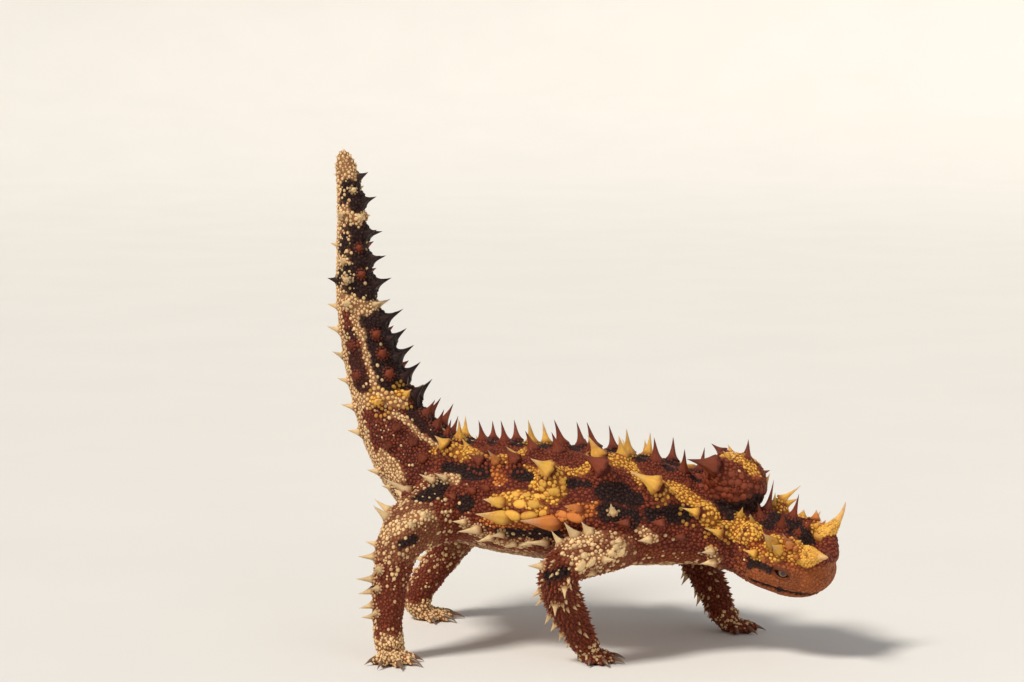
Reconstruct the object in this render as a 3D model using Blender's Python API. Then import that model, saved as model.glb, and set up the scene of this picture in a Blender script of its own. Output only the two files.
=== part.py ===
"""Thorny devil (Moloch horridus), life size, standing with its tail raised and its head lowered.

The animal faces +X, its left side is +Y, and its soles stand on the plane Z = 0. Each named part of the
body is one closed object, and neighbours meet across a thin gap. The flesh is a set of tubes lofted through
sections, and the thorns are cones set on those tubes in rows and joined to the part that they grow from.
"""

import math
import random
from typing import NamedTuple

import bmesh
import bpy
import numpy as np
from mathutils import Matrix, Vector
from mathutils.bvhtree import BVHTree

# Driving sizes. Every other length is written in units, of which the body has 95 from snout to vent.
SNOUT_TO_VENT = 0.095
UNIT = SNOUT_TO_VENT / 95
GAP = 0.0003
HALF_GAP = GAP / UNIT / 2
RANDOM_SEED = 11

# Sections of the tail and trunk from the tail's tip to the back of the head:
# x, y, z, half width, height above the line, depth below it, roll in degrees, power of the outline.
TRUNK_SECTIONS = (
    (-47.6, 0.0, 109.3, 1.2, 1.2, 1.2, 0, 2.0),
    (-47.2, 0.0, 107.6, 2.1, 2.0, 2.0, 0, 2.0),
    (-46.6, 0.0, 103.5, 2.7, 2.5, 2.5, 0, 2.0),
    (-46.1, 0.0, 97.0, 3.2, 3.0, 2.8, 0, 2.0),
    (-45.8, 0.0, 88.0, 3.8, 3.6, 3.3, 0, 2.0),
    (-45.3, 0.0, 79.0, 4.5, 4.4, 3.9, 0, 2.0),
    (-43.8, 0.0, 70.5, 5.3, 5.2, 4.7, 0, 2.0),
    (-41.9, 0.0, 63.0, 6.2, 5.9, 5.5, 0, 2.0),
    (-39.5, 0.0, 55.5, 7.2, 6.5, 6.3, 1, 2.0),
    (-36.0, 0.0, 48.0, 8.6, 7.4, 7.8, 2, 2.1),
    (-30.8, 0.0, 41.0, 10.6, 8.4, 9.4, 4, 2.2),
    (-24.0, 0.0, 36.0, 13.6, 10.4, 11.2, 6, 2.3),
    (-15.0, 0.0, 32.6, 18.0, 12.6, 11.2, 8, 2.3),
    (-4.0, 0.0, 30.8, 21.0, 13.6, 11.2, 10, 2.3),
    (7.0, 0.0, 29.8, 21.8, 14.0, 11.0, 10, 2.3),
    (17.0, 0.0, 29.2, 20.2, 13.6, 10.6, 9, 2.3),
    (26.0, -0.2, 28.6, 16.2, 12.4, 9.6, 5, 2.2),
    (33.5, -0.5, 27.8, 12.0, 10.4, 8.2, -1, 2.1),
    (39.5, -0.9, 26.8, 9.4, 8.4, 7.4, -8, 2.1),
    (45.0, -1.7, 25.2, 8.8, 7.4, 7.2, -14, 2.1),
    (49.0, -2.8, 23.8, 8.8, 7.4, 7.2, -15, 2.1),
)

# Where the chain of tail, trunk and neck is parted, as distances from the tail's tip.
TAIL_LENGTHS = {
    "tail_tip": (0.0, 19.5),
    "tail_upper": (19.5, 38.0),
    "tail_middle": (38.0, 56.5),
    "tail_base": (56.5, 77.0),
}
TORSO_SPAN = (77.0, 142.0)
NECK_START, NECK_LENGTH = 142.0, 3.4

# The head's own frame: its root, and how far it is turned to the animal's right, lowered and rolled.
HEAD_ROOT = (46.2, -2.0, 24.8)
HEAD_YAW, HEAD_PITCH, HEAD_ROLL = -16.0, 18.0, 15.0
# Sections of the head in its own frame, from the neck to the snout, as for the trunk.
HEAD_SECTIONS = (
    (0.0, 0.0, 0.0, 8.8, 7.4, 7.2, 0, 2.1),
    (3.5, 0.0, -0.2, 9.2, 8.2, 7.4, 0, 2.2),
    (7.5, 0.0, -0.4, 9.0, 8.6, 7.0, 0, 2.3),
    (11.0, 0.0, -0.4, 8.3, 8.4, 6.6, 0, 2.4),
    (13.8, 0.0, 0.2, 7.3, 7.4, 6.1, 0, 2.4),
    (15.8, 0.0, 1.2, 6.0, 5.4, 5.1, 0, 2.4),
    (17.2, 0.0, 2.2, 4.4, 3.4, 3.6, 0, 2.2),
    (17.9, 0.0, 2.8, 2.4, 1.7, 1.9, 0, 2.0),
)
# The corner of the mouth in the head's frame, and the slope of the mouth's line in degrees.
MOUTH_CORNER, MOUTH_SLOPE = (4.2, 0.0, -3.3), 1.0
MOUTH_BLOCK = (22.0, 30.0, 12.0)

EYE_PLACE = (10.6, 6.5, 1.0)
EYE_RADIUS = 1.9
LID_SIZES = (3.5, 2.9, 2.9)
LID_OPENING, LID_OPENING_OUT = (1.5, 2.4, 0.95), 2.4
NOSTRIL_PLACE = (16.6, 3.4, 3.2)
NOSTRIL_SIZES = (0.8, 0.5, 0.5)

# The brow horns: the place of the root on the head as distance and angle, how deep it starts, and the way
# that each points in the head's frame. The left one shows from the side and the right one points outwards.
HORN_AT, HORN_SINK = (14.4, 42.0), 1.4
HORN_POINTS = {"left": (0.12, 0.56, 0.80), "right": (0.46, -0.52, 0.70)}
HORN_LENGTH, HORN_RADIUS, HORN_BOW, HORN_SIDES = 9.2, 3.0, 0.5, 8
HORN_PROFILE = ((0.0, 1.0), (0.2, 0.86), (0.38, 0.5), (0.64, 0.25), (1.0, 0.05))

KNOB_PLACE = (41.4, -0.6, 37.6)
KNOB_SIZES = (7.2, 7.6, 6.8)
# Thorns of the knob on the nape: the way that each points, its length and its root's radius.
KNOB_THORNS = (
    ((-0.62, 0.66, 0.42), 7.4, 3.8),
    ((0.42, 0.26, 0.87), 3.2, 1.3),
    ((0.76, 0.48, 0.44), 2.6, 1.2),
    ((-0.08, 0.52, 0.85), 2.8, 1.2),
    ((0.14, 0.96, -0.1), 2.6, 1.2),
)

# Each leg: its line from inside the body to the sole as x, y, z and radius, the heading of the foot in
# degrees from +X to +Y, and the length of its longest toe.
LEGS = {
    "hind_right": {
        "line": (
            (-19.0, -6.0, 32.0, 7.2),
            (-22.5, -12.0, 31.0, 7.2),
            (-26.0, -18.5, 29.6, 6.2),
            (-28.6, -23.2, 26.2, 5.0),
            (-30.0, -24.6, 20.5, 4.0),
            (-30.8, -25.0, 14.0, 3.4),
            (-31.2, -25.0, 8.0, 3.1),
            (-30.9, -25.3, 4.4, 3.2),
            (-29.8, -26.6, 2.4, 2.9),
        ),
        "heading": -62.0,
        "toe": 5.6,
    },
    "hind_left": {
        "line": (
            (-19.0, 6.0, 31.5, 7.2),
            (-21.5, 11.0, 29.6, 7.2),
            (-23.0, 15.2, 26.6, 6.0),
            (-24.6, 17.6, 21.6, 4.8),
            (-28.0, 17.2, 16.0, 3.9),
            (-31.8, 16.2, 10.6, 3.4),
            (-34.6, 15.4, 6.4, 3.1),
            (-35.0, 15.4, 4.0, 3.1),
            (-32.6, 15.8, 2.4, 2.9),
        ),
        "heading": 14.0,
        "toe": 5.6,
    },
    "front_right": {
        "line": (
            (22.0, -6.0, 27.0, 5.8),
            (19.5, -12.0, 26.6, 5.8),
            (14.8, -18.6, 25.2, 5.0),
            (9.0, -24.8, 23.3, 4.3),
            (6.8, -25.6, 19.8, 4.0),
            (7.4, -22.6, 14.6, 3.7),
            (9.4, -19.4, 8.6, 3.1),
            (10.8, -17.6, 4.6, 2.9),
            (12.6, -17.0, 2.4, 2.7),
        ),
        "heading": -12.0,
        "toe": 4.8,
    },
    "front_left": {
        "line": (
            (20.0, 6.0, 27.0, 5.8),
            (21.5, 12.0, 26.0, 5.8),
            (24.0, 18.4, 24.0, 5.0),
            (27.0, 22.8, 20.6, 4.3),
            (30.0, 22.8, 16.4, 3.9),
            (33.0, 21.0, 11.6, 3.5),
            (35.4, 19.4, 7.2, 3.1),
            (36.6, 18.6, 4.4, 2.9),
            (39.0, 18.6, 2.4, 2.7),
        ),
        "heading": 4.0,
        "toe": 4.8,
    },
}
# Shares of a leg's length at the knee or elbow, and at the ankle or wrist.
KNEE_AT, ANKLE_AT = 0.40, 0.86
# The toes' headings from the foot's, and their lengths as shares of the longest.
TOES = ((-74.0, 0.72), (-36.0, 0.95), (0.0, 1.0), (36.0, 0.92), (74.0, 0.72))
TOE_RADII, CLAW_RADII = (1.35, 1.0), (0.75, 0.12)
# How high a toe's root, knuckle and claw tip stand, and how far out, beyond the sole's middle: the root in
# units, and the others from the sole's rim as shares of the toe's length.
TOE_ROOT_HEIGHT, KNUCKLE_HEIGHT, CLAW_TIP_HEIGHT = 1.8, 0.9, 0.3
TOE_ROOT_OUT, KNUCKLE_OUT, CLAW_TIP_OUT = 0.6, 0.7, 1.35
SOLE_RIM, CLAW_OVERLAP = 0.5, 0.3
# The pad under each foot: its height above the ground, and its half sizes as shares of the leg's radius.
PAD_HEIGHT, PAD_SIZES = 1.2, (1.1, 1.0, 0.6)

# Profiles of thorns: pairs of a share of the length and the radius there, as a share of the root's.
BROAD = ((0.14, 0.78), (0.36, 0.42), (0.66, 0.2))
ROSE = ((0.34, 0.4),)
PLAIN = ()
THORN_SINK = 0.9
# No thorn comes nearer than this to another part of the body, or to the floor.
CLEARANCE = 0.5


class Row(NamedTuple):
    """A row of like thorns along a tube. Lengths and radii are given at its first and last thorn, the lean is
    towards the tube's start and the splay is away from the middle line, in degrees."""

    angle: float
    start: float
    end: float
    count: int
    lengths: tuple
    radii: tuple
    lean: float
    splay: float = 0.0
    profile: tuple = ROSE
    sides: int = 5
    both: bool = True


TORSO_ROWS = (
    Row(14, 81, 138.5, 11, (5.4, 6.4), (1.9, 2.3), 10, 14),
    Row(32, 85, 136, 8, (4.4, 5.0), (1.9, 2.2), 28, 6),
    Row(54, 80.5, 139.5, 7, (5.6, 9.0), (3.4, 4.4), 44, 0, BROAD, 6),
    Row(70, 86, 134, 7, (2.6, 3.0), (1.2, 1.4), 45, 0, PLAIN, 4),
    Row(86, 87, 131, 6, (7.0, 7.4), (3.0, 3.6), 68, 0, BROAD, 6),
    Row(110, 86, 128, 7, (4.6, 4.0), (1.6, 1.5), 56),
    Row(130, 90, 128, 5, (2.6, 2.6), (1.1, 1.1), 50, 0, PLAIN, 4),
)
TAIL_ROWS = (
    Row(24, 7.0, 76.0, 12, (2.8, 5.8), (1.3, 2.3), 6, 10),
    Row(68, 4.0, 76.0, 12, (1.9, 3.8), (1.0, 1.7), 10),
    Row(112, 7.0, 76.0, 12, (1.8, 3.4), (0.9, 1.4), 10),
    Row(158, 4.0, 70.0, 10, (1.4, 2.4), (0.8, 1.1), 12, 0, PLAIN, 4),
)
NECK_ROWS = (
    Row(62, 145.4, 145.4, 1, (5.0, 5.0), (2.2, 2.2), 50, 0, BROAD, 6),
    Row(96, 145.0, 145.0, 1, (3.4, 3.4), (1.4, 1.4), 45),
)
HEAD_ROWS = (
    Row(17, 3.2, 8.6, 2, (5.2, 5.8), (1.5, 1.6), 4, 6),
    Row(45, 4.4, 4.4, 1, (5.4, 5.4), (1.9, 1.9), -4, 10),
    Row(64, 5.6, 5.6, 1, (5.6, 5.6), (2.5, 2.5), 30, 0, BROAD, 6),
    Row(92, 3.0, 3.0, 1, (3.0, 3.0), (1.3, 1.3), 40),
    Row(18, 13.2, 13.2, 1, (2.6, 2.6), (1.0, 1.0), 0, 0, PLAIN, 4),
)
THIGH_ROWS = (
    Row(20, 0.20, 0.36, 3, (5.0, 4.4), (1.9, 1.7), 0),
    Row(64, 0.22, 0.36, 3, (3.4, 3.2), (1.5, 1.4), 0),
    Row(-34, 0.24, 0.34, 2, (2.6, 2.6), (1.2, 1.2), 0, 0, PLAIN, 4),
)
SHIN_ROWS = (
    Row(8, 0.44, 0.80, 6, (3.8, 2.8), (1.4, 1.1), 8),
    Row(62, 0.46, 0.80, 5, (2.6, 2.2), (1.1, 0.9), 8, 0, PLAIN, 4),
    Row(-48, 0.46, 0.80, 4, (2.2, 1.8), (1.0, 0.8), 8, 0, PLAIN, 4),
)
ARM_ROWS = (
    Row(70, 0.20, 0.36, 3, (4.4, 4.2), (1.8, 1.6), -35),
    Row(20, 0.24, 0.36, 2, (3.6, 3.6), (1.4, 1.4), -20),
    Row(116, 0.24, 0.36, 2, (2.2, 2.2), (1.3, 1.2), -20, 0, PLAIN, 4),
)
FOREARM_ROWS = (
    Row(10, 0.43, 0.80, 6, (3.8, 2.6), (1.4, 1.0), -10),
    Row(60, 0.45, 0.80, 4, (2.6, 2.2), (1.1, 0.9), -20, 0, PLAIN, 4),
    Row(-50, 0.46, 0.80, 4, (2.2, 1.8), (1.0, 0.8), -20, 0, PLAIN, 4),
    Row(150, 0.48, 0.78, 4, (2.0, 1.8), (1.0, 0.8), -20, 0, PLAIN, 4),
)
# How far a thorn's angle, place, lean and size may differ from its row's.
ANGLE_VARIES, PLACE_VARIES, LEAN_VARIES, SIZE_VARIES = 2.5, 0.5, 5.0, 0.12

# Colours of the plain solids, as red, green, blue and roughness, and the parts that take each.
FINISHES = {
    "eye": ((0.02, 0.015, 0.01), 0.15, ("eye",)),
    "ochre": ((0.62, 0.36, 0.10), 0.6, ("horn", "torso", "neck")),
    "red_brown": ((0.25, 0.07, 0.04), 0.6, ("tail", "head", "lower", "nape")),
    "cream": ((0.66, 0.50, 0.30), 0.6, ("",)),
}
SHARP_ANGLE = 50.0

BACKWARD = (-1.0, 0.0, 0.0)
# A direction along no axis, to count how often a ray leaves and enters a body.
RAY = Vector((0.31, 0.57, 0.76)).normalized()
STEP_PAST = 1e-6

rng = random.Random(RANDOM_SEED)


def clear_scene():
    for obj in list(bpy.data.objects):
        bpy.data.objects.remove(obj)


def collection_named(name):
    made = bpy.data.collections.new(name)
    bpy.context.scene.collection.children.link(made)
    return made


def empty_collection(collection):
    for obj in list(collection.objects):
        bpy.data.objects.remove(obj)


def unit(vector):
    return vector / np.linalg.norm(vector)


class Tube:
    """A body part lofted through sections. Places on it are given as a distance along it, in units, and an
    angle round it in degrees, from the back's middle line towards the animal's left."""

    def __init__(self, sections, matrix=None, back=None, samples=40):
        self.rows = np.array(sections, float)
        self.matrix = np.array(matrix if matrix is not None else Matrix.Identity(4))
        self.back = None if back is None else np.array(back, float)
        self.steps = np.linspace(0, len(self.rows) - 1, samples * (len(self.rows) - 1) + 1)
        places = np.array([self.row_at_step(step)[:3] for step in self.steps])
        lengths = np.linalg.norm(np.diff(places, axis=0), axis=1)
        self.distances = np.concatenate([[0], np.cumsum(lengths)])
        self.length = self.distances[-1]

    def row_at_step(self, step):
        """The section at a step between the given ones, by a Catmull-Rom spline."""
        last = len(self.rows) - 1
        i = min(int(step), last - 1)
        t = step - i
        a, b = self.rows[i], self.rows[i + 1]
        before = self.rows[i - 1] if i > 0 else 2 * a - b
        after = self.rows[i + 2] if i + 2 <= last else 2 * b - a
        slope, square, cube = b - before, 2 * before - 5 * a + 4 * b - after, 3 * a - before - 3 * b + after
        return a + 0.5 * (slope * t + square * t**2 + cube * t**3)

    def row(self, distance):
        return self.row_at_step(np.interp(distance, self.distances, self.steps))

    def frame(self, distance):
        """The section, and the directions forward, to the left and to the back, in the tube's frame."""
        reach = 0.02 * self.length
        here = self.row(distance)
        ahead, behind = self.row(min(distance + reach, self.length)), self.row(max(distance - reach, 0))
        forward = unit(ahead[:3] - behind[:3])
        if self.back is None:
            left = unit(np.array([0, 1, 0]) - forward[1] * forward)
            back = np.cross(forward, left)
        else:
            back = unit(self.back - (self.back @ forward) * forward)
            left = np.cross(back, forward)
        roll = math.radians(here[6])
        turned = math.cos(roll) * back + math.sin(roll) * left
        return here, forward, np.cross(turned, forward), turned

    def place(self, distance, angle, grow=0.0):
        """A point on the skin, in metres, in the animal's frame."""
        here, _, left, back = self.frame(distance)
        x, y = math.sin(math.radians(angle)), math.cos(math.radians(angle))
        power = 2 / here[7]
        height = here[4] if y > 0 else here[5]
        across = math.copysign(abs(x) ** power, x) * (here[3] + grow)
        upward = math.copysign(abs(y) ** power, y) * (height + grow)
        return self.to_world(here[:3] + across * left + upward * back)

    def to_world(self, place):
        return self.matrix[:3, :3] @ (np.array(place) * UNIT) + self.matrix[:3, 3]

    def forward_at(self, distance):
        return self.matrix[:3, :3] @ self.frame(distance)[1]

    def left_at(self, distance):
        return self.matrix[:3, :3] @ self.frame(distance)[2]

    def normal(self, distance, angle):
        """The direction straight out of the skin."""
        step, turn = 0.5, 4.0
        along = self.place(min(distance + step, self.length), angle) - self.place(max(distance - step, 0), angle)
        around = self.place(distance, angle + turn) - self.place(distance, angle - turn)
        out = unit(np.cross(around, along))
        centre = self.to_world(self.row(distance)[:3])
        return out if out @ (self.place(distance, angle) - centre) > 0 else -out

    def ring(self, distance, around, grow=0.0):
        return [Vector(self.place(distance, 360 * k / around, grow)) for k in range(around)]

    def rings(self, start, end, count, around, grow=0.0):
        return [self.ring(d, around, grow) for d in np.linspace(start, end, count)]


def head_matrix():
    turn = (
        Matrix.Rotation(math.radians(HEAD_YAW), 4, "Z")
        @ Matrix.Rotation(math.radians(HEAD_PITCH), 4, "Y")
        @ Matrix.Rotation(math.radians(HEAD_ROLL), 4, "X")
    )
    return Matrix.Translation(Vector(HEAD_ROOT) * UNIT) @ turn


def in_head(place):
    """A matrix at a place in the head's frame."""
    return head_matrix() @ Matrix.Translation(Vector(place) * UNIT)


def leg_tube(leg):
    return Tube([(x, y, z, radius, radius, radius, 0, 2.0) for x, y, z, radius in LEGS[leg]["line"]], back=BACKWARD)


def object_from(name, bm, collection):
    mesh = bpy.data.meshes.new(name)
    bm.to_mesh(mesh)
    bm.free()
    obj = bpy.data.objects.new(name, mesh)
    collection.objects.link(obj)
    return obj


def loft(name, rings, collection):
    """A closed body through rings of points that match one to one, which no primitive gives."""
    bm = bmesh.new()
    loops = [[bm.verts.new(point) for point in ring] for ring in rings]
    for near, far in zip(loops, loops[1:]):
        for k in range(len(near)):
            m = (k + 1) % len(near)
            bm.faces.new((near[k], near[m], far[m], far[k]))
    bm.faces.new(list(reversed(loops[0])))
    bm.faces.new(loops[-1])
    bmesh.ops.recalc_face_normals(bm, faces=bm.faces)
    return object_from(name, bm, collection)


def ellipsoid(name, matrix, sizes, around, high, collection):
    bm = bmesh.new()
    bmesh.ops.create_uvsphere(bm, u_segments=around, v_segments=high, radius=1.0)
    scale = Matrix.Diagonal((*[size * UNIT for size in sizes], 1.0))
    bmesh.ops.transform(bm, matrix=matrix @ scale, verts=bm.verts)
    return object_from(name, bm, collection)


def block(name, matrix, sizes, centre, collection):
    bm = bmesh.new()
    bmesh.ops.create_cube(bm, size=1.0)
    bmesh.ops.scale(bm, vec=Vector(sizes) * UNIT, verts=bm.verts)
    bmesh.ops.translate(bm, vec=Vector(centre) * UNIT, verts=bm.verts)
    bmesh.ops.transform(bm, matrix=matrix, verts=bm.verts)
    return object_from(name, bm, collection)


def turned_to(place, direction, roll=0.0):
    """A matrix that stands a shape modelled along +Z at a place, along a direction."""
    upright = Vector(direction).to_track_quat("Z", "Y").to_matrix().to_4x4()
    return Matrix.Translation(Vector(place)) @ upright @ Matrix.Rotation(roll, 4, "Z")


def peg(name, start, end, radii, sides, collection):
    """A tapered peg from one point to another."""
    bm = bmesh.new()
    first, last = (radius * UNIT for radius in radii)
    length = (end - start).length
    bmesh.ops.create_cone(bm, cap_ends=True, segments=sides, radius1=first, radius2=last, depth=length)
    bmesh.ops.transform(bm, matrix=turned_to((start + end) / 2, end - start, 0.3), verts=bm.verts)
    return object_from(name, bm, collection)


def thorn(place, direction, length, radius, profile, sides, collection):
    """A thorn: a cone pulled in to a profile, whose root is sunk into the skin."""
    bm = bmesh.new()
    high = length * UNIT
    bmesh.ops.create_cone(bm, cap_ends=True, segments=sides, radius1=radius * UNIT, radius2=0.0, depth=high)
    bmesh.ops.translate(bm, vec=(0, 0, high / 2), verts=bm.verts)
    bmesh.ops.remove_doubles(bm, verts=bm.verts, dist=1e-6)
    for share, width in profile:
        cut = bmesh.ops.bisect_plane(bm, geom=bm.verts[:] + bm.edges[:] + bm.faces[:],
                                     plane_co=(0, 0, share * high), plane_no=(0, 0, 1))
        ring = [item for item in cut["geom_cut"] if isinstance(item, bmesh.types.BMVert)]
        for vert in ring:
            flat = Vector((vert.co.x, vert.co.y))
            vert.co.x, vert.co.y = flat * (width * radius * UNIT / flat.length)
    for vert in bm.verts:
        if vert.co.z < 1e-7:
            vert.co.z = -THORN_SINK * UNIT
    bmesh.ops.transform(bm, matrix=turned_to(place, direction, rng.uniform(0, math.tau)), verts=bm.verts)
    return object_from("thorn", bm, collection)


def apply_modifiers(obj):
    graph = bpy.context.evaluated_depsgraph_get()
    made = bpy.data.meshes.new_from_object(obj.evaluated_get(graph))
    obj.modifiers.clear()
    obj.data = made


def shells_of(bm):
    """The sets of joined points of a mesh."""
    left, shells = set(bm.verts), []
    while left:
        shell, front = set(), [left.pop()]
        while front:
            vert = front.pop()
            shell.add(vert)
            beside = {edge.other_vert(vert) for edge in vert.link_edges} & left
            left -= beside
            front.extend(beside)
        shells.append(shell)
    return shells


def keep_largest(obj):
    """Drops every closed surface of the object but the one with the most points."""
    bm = bmesh.new()
    bm.from_mesh(obj.data)
    shells = sorted(shells_of(bm), key=len)
    bmesh.ops.delete(bm, geom=[vert for shell in shells[:-1] for vert in shell], context="VERTS")
    bm.to_mesh(obj.data)
    bm.free()


def is_closed(mesh):
    bm = bmesh.new()
    bm.from_mesh(mesh)
    closed = all(edge.is_manifold for edge in bm.edges)
    bm.free()
    return closed


def boolean(obj, operation, other):
    """Joins, cuts or keeps what is common with another object, or with a collection of them, and applies it.
    The exact solver comes first, and the manifold one takes over where that leaves the mesh open."""
    before = obj.data.copy()
    for solver in ("EXACT", "MANIFOLD"):
        obj.data = before.copy()
        modifier = obj.modifiers.new("boolean", "BOOLEAN")
        modifier.operation = operation
        modifier.solver = solver
        if isinstance(other, bpy.types.Collection):
            modifier.operand_type = "COLLECTION"
            modifier.collection = other
        else:
            modifier.object = other
        apply_modifiers(obj)
        if is_closed(obj.data):
            break
    keep_largest(obj)


def tree_of(obj):
    bm = bmesh.new()
    bm.from_mesh(obj.data)
    tree = BVHTree.FromBMesh(bm)
    bm.free()
    return tree


def reaches(tree, point, margin):
    """Whether a point lies inside a closed body or nearer than the margin to it."""
    start = Vector(point)
    if tree.find_nearest(start, margin)[0] is not None:
        return True
    crossings = 0
    hit = tree.ray_cast(start, RAY)[0]
    while hit is not None:
        crossings += 1
        hit = tree.ray_cast(hit + RAY * STEP_PAST, RAY)[0]
    return crossings % 2 == 1


def row_thorns(tube, row, span):
    """The thorns of a row that stand within a span of the tube."""
    for k in range(row.count):
        share = k / max(row.count - 1, 1)
        size = 1 + rng.uniform(-SIZE_VARIES, SIZE_VARIES)
        length = size * (row.lengths[0] + (row.lengths[1] - row.lengths[0]) * share)
        radius = size * (row.radii[0] + (row.radii[1] - row.radii[0]) * share)
        for side in (1, -1) if row.both else (1,):
            distance = row.start + (row.end - row.start) * share + rng.uniform(-PLACE_VARIES, PLACE_VARIES)
            angle = side * row.angle + rng.uniform(-ANGLE_VARIES, ANGLE_VARIES)
            lean = math.radians(row.lean + rng.uniform(-LEAN_VARIES, LEAN_VARIES))
            if not span[0] + radius < distance < span[1] - radius:
                continue
            upright = math.cos(lean) * tube.normal(distance, angle) - math.sin(lean) * tube.forward_at(distance)
            outward = side * math.sin(math.radians(row.splay)) * tube.left_at(distance)
            yield tube.place(distance, angle), unit(upright + outward), length, radius, row.profile, row.sides


def add_thorns(obj, thorns, work, bodies):
    """Joins thorns to their part, leaving out those that would come near another part of the body."""
    others = [tree for name, tree in bodies.items() if name != obj.name]
    for place, direction, length, radius, profile, sides in thorns:
        tip = place + direction * length * UNIT
        middle = (place + tip) / 2
        if min(tip[2], middle[2]) < CLEARANCE * UNIT:
            continue
        checks = ((place, radius), (middle, CLEARANCE), (tip, CLEARANCE))
        if any(reaches(tree, point, margin * UNIT) for tree in others for point, margin in checks):
            continue
        made = thorn(place, direction, length, radius, profile, sides, work)
        own_tree = tree_of(made)
        if any(tree.overlap(own_tree) for tree in others):
            bpy.data.objects.remove(made)
    if work.objects:
        boolean(obj, "UNION", work)
    empty_collection(work)
    bodies[obj.name] = tree_of(obj)


def trunk_parts(trunk, head, parts, cutters):
    """The tail in four lengths, the torso and the neck, and copies grown by the gap to cut others by."""
    made, grown = {}, {}
    for name, (start, end) in TAIL_LENGTHS.items():
        low = start if start == 0 else start + HALF_GAP
        made[name] = loft(name, trunk.rings(low, end - HALF_GAP, 9, 12), parts)
    start, end = TORSO_SPAN
    made["torso"] = loft("torso", trunk.rings(start + HALF_GAP, end - HALF_GAP, 24, 26), parts)
    grown["torso"] = loft("torso_grown", trunk.rings(start, end, 24, 26, 2 * HALF_GAP), cutters)
    start, end = TAIL_LENGTHS["tail_base"]
    grown["tail_base"] = loft("tail_base_grown", trunk.rings(start, end, 9, 12, 2 * HALF_GAP), cutters)
    end = NECK_START + NECK_LENGTH
    step_back = Vector(head.forward_at(0.0)) * GAP
    face = [point - step_back for point in head.ring(0.0, 24)]
    made["neck"] = loft("neck", trunk.rings(NECK_START + HALF_GAP, end, 3, 24) + [face], parts)
    rings = trunk.rings(NECK_START, end, 3, 24, 2 * HALF_GAP) + [head.ring(0.0, 24, 2 * HALF_GAP)]
    grown["neck"] = loft("neck_grown", rings, cutters)
    return made, grown


def mouth_block(name, grow, collection):
    """A block under the line of the mouth, from its corner forward."""
    length, width, height = MOUTH_BLOCK
    matrix = in_head(MOUTH_CORNER) @ Matrix.Rotation(math.radians(MOUTH_SLOPE), 4, "Y")
    centre = ((length - grow) / 2, 0, (grow - height) / 2)
    return block(name, matrix, (length + grow, width, height + grow), centre, collection)


def head_parts(head_tube, parts, cutters, work):
    """The head with its lids, eye sockets, nostrils and mouth, the lower jaw and the eyes."""
    rings = head_tube.rings(0.0, head_tube.length, 13, 22)
    made = {"head": loft("head", rings, parts), "lower_jaw": loft("lower_jaw", rings, parts)}
    grown_rings = head_tube.rings(0.0, head_tube.length, 13, 22, 2 * HALF_GAP)
    grown = loft("head_grown", grown_rings, cutters)
    eyes = {"left": EYE_PLACE, "right": (EYE_PLACE[0], -EYE_PLACE[1], EYE_PLACE[2])}
    for place in eyes.values():
        ellipsoid("lid", in_head(place), LID_SIZES, 12, 8, work)
    boolean(made["head"], "UNION", work)
    empty_collection(work)
    room = EYE_RADIUS + 2 * HALF_GAP
    for word, place in eyes.items():
        side = math.copysign(1, place[1])
        ellipsoid("socket", in_head(place), (room, room, room), 14, 10, work)
        outside = (place[0], place[1] + side * LID_OPENING_OUT, place[2])
        ellipsoid("opening", in_head(outside), LID_OPENING, 12, 8, work)
        nostril = (NOSTRIL_PLACE[0], side * NOSTRIL_PLACE[1], NOSTRIL_PLACE[2])
        ellipsoid("nostril", in_head(nostril), NOSTRIL_SIZES, 8, 6, work)
        ball = (EYE_RADIUS, EYE_RADIUS, EYE_RADIUS)
        made["eye_" + word] = ellipsoid("eye_" + word, in_head(place), ball, 14, 10, parts)
    boolean(made["head"], "DIFFERENCE", work)
    empty_collection(work)
    boolean(made["lower_jaw"], "INTERSECT", mouth_block("jaw_block", 0.0, cutters))
    boolean(made["head"], "DIFFERENCE", mouth_block("head_block", 2 * HALF_GAP, cutters))
    return made, grown


def horn_parts(head_tube, head_grown, parts):
    """The two brow horns, each a tapered tube bowed forward."""
    made = {}
    turn = np.array(head_matrix())[:3, :3]
    length = (HORN_LENGTH + HORN_SINK) * UNIT
    for word, point in HORN_POINTS.items():
        side = math.copysign(1, point[1])
        root = head_tube.place(HORN_AT[0], side * HORN_AT[1], -HORN_SINK)
        out = unit(turn @ np.array(point))
        bow = head_tube.forward_at(HORN_AT[0]) * HORN_BOW * length
        rings = []
        for share, width in HORN_PROFILE:
            matrix = turned_to(root + out * share * length + bow * share * (1 - share), out)
            radius = width * HORN_RADIUS * UNIT
            angles = [math.tau * k / HORN_SIDES for k in range(HORN_SIDES)]
            rings.append([matrix @ Vector((radius * math.cos(a), radius * math.sin(a), 0)) for a in angles])
        name = "horn_" + word
        made[name] = loft(name, rings, parts)
        boolean(made[name], "DIFFERENCE", head_grown)
    return made


def knob_part(grown, parts):
    """The rounded false head on the nape."""
    knob = ellipsoid("nape_knob", Matrix.Translation(Vector(KNOB_PLACE) * UNIT), KNOB_SIZES, 18, 12, parts)
    boolean(knob, "DIFFERENCE", grown["neck"])
    boolean(knob, "DIFFERENCE", grown["torso"])
    return knob


def knob_thorns():
    sizes = np.array(KNOB_SIZES)
    for point, length, radius in KNOB_THORNS:
        for side in (1, -1):
            direction = unit(np.array(point) * (1, side, 1))
            place = (np.array(KNOB_PLACE) + direction * sizes) * UNIT
            profile, sides = (BROAD, 6) if length > 5 else (ROSE, 5)
            yield place, direction, length, radius, profile, sides


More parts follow.
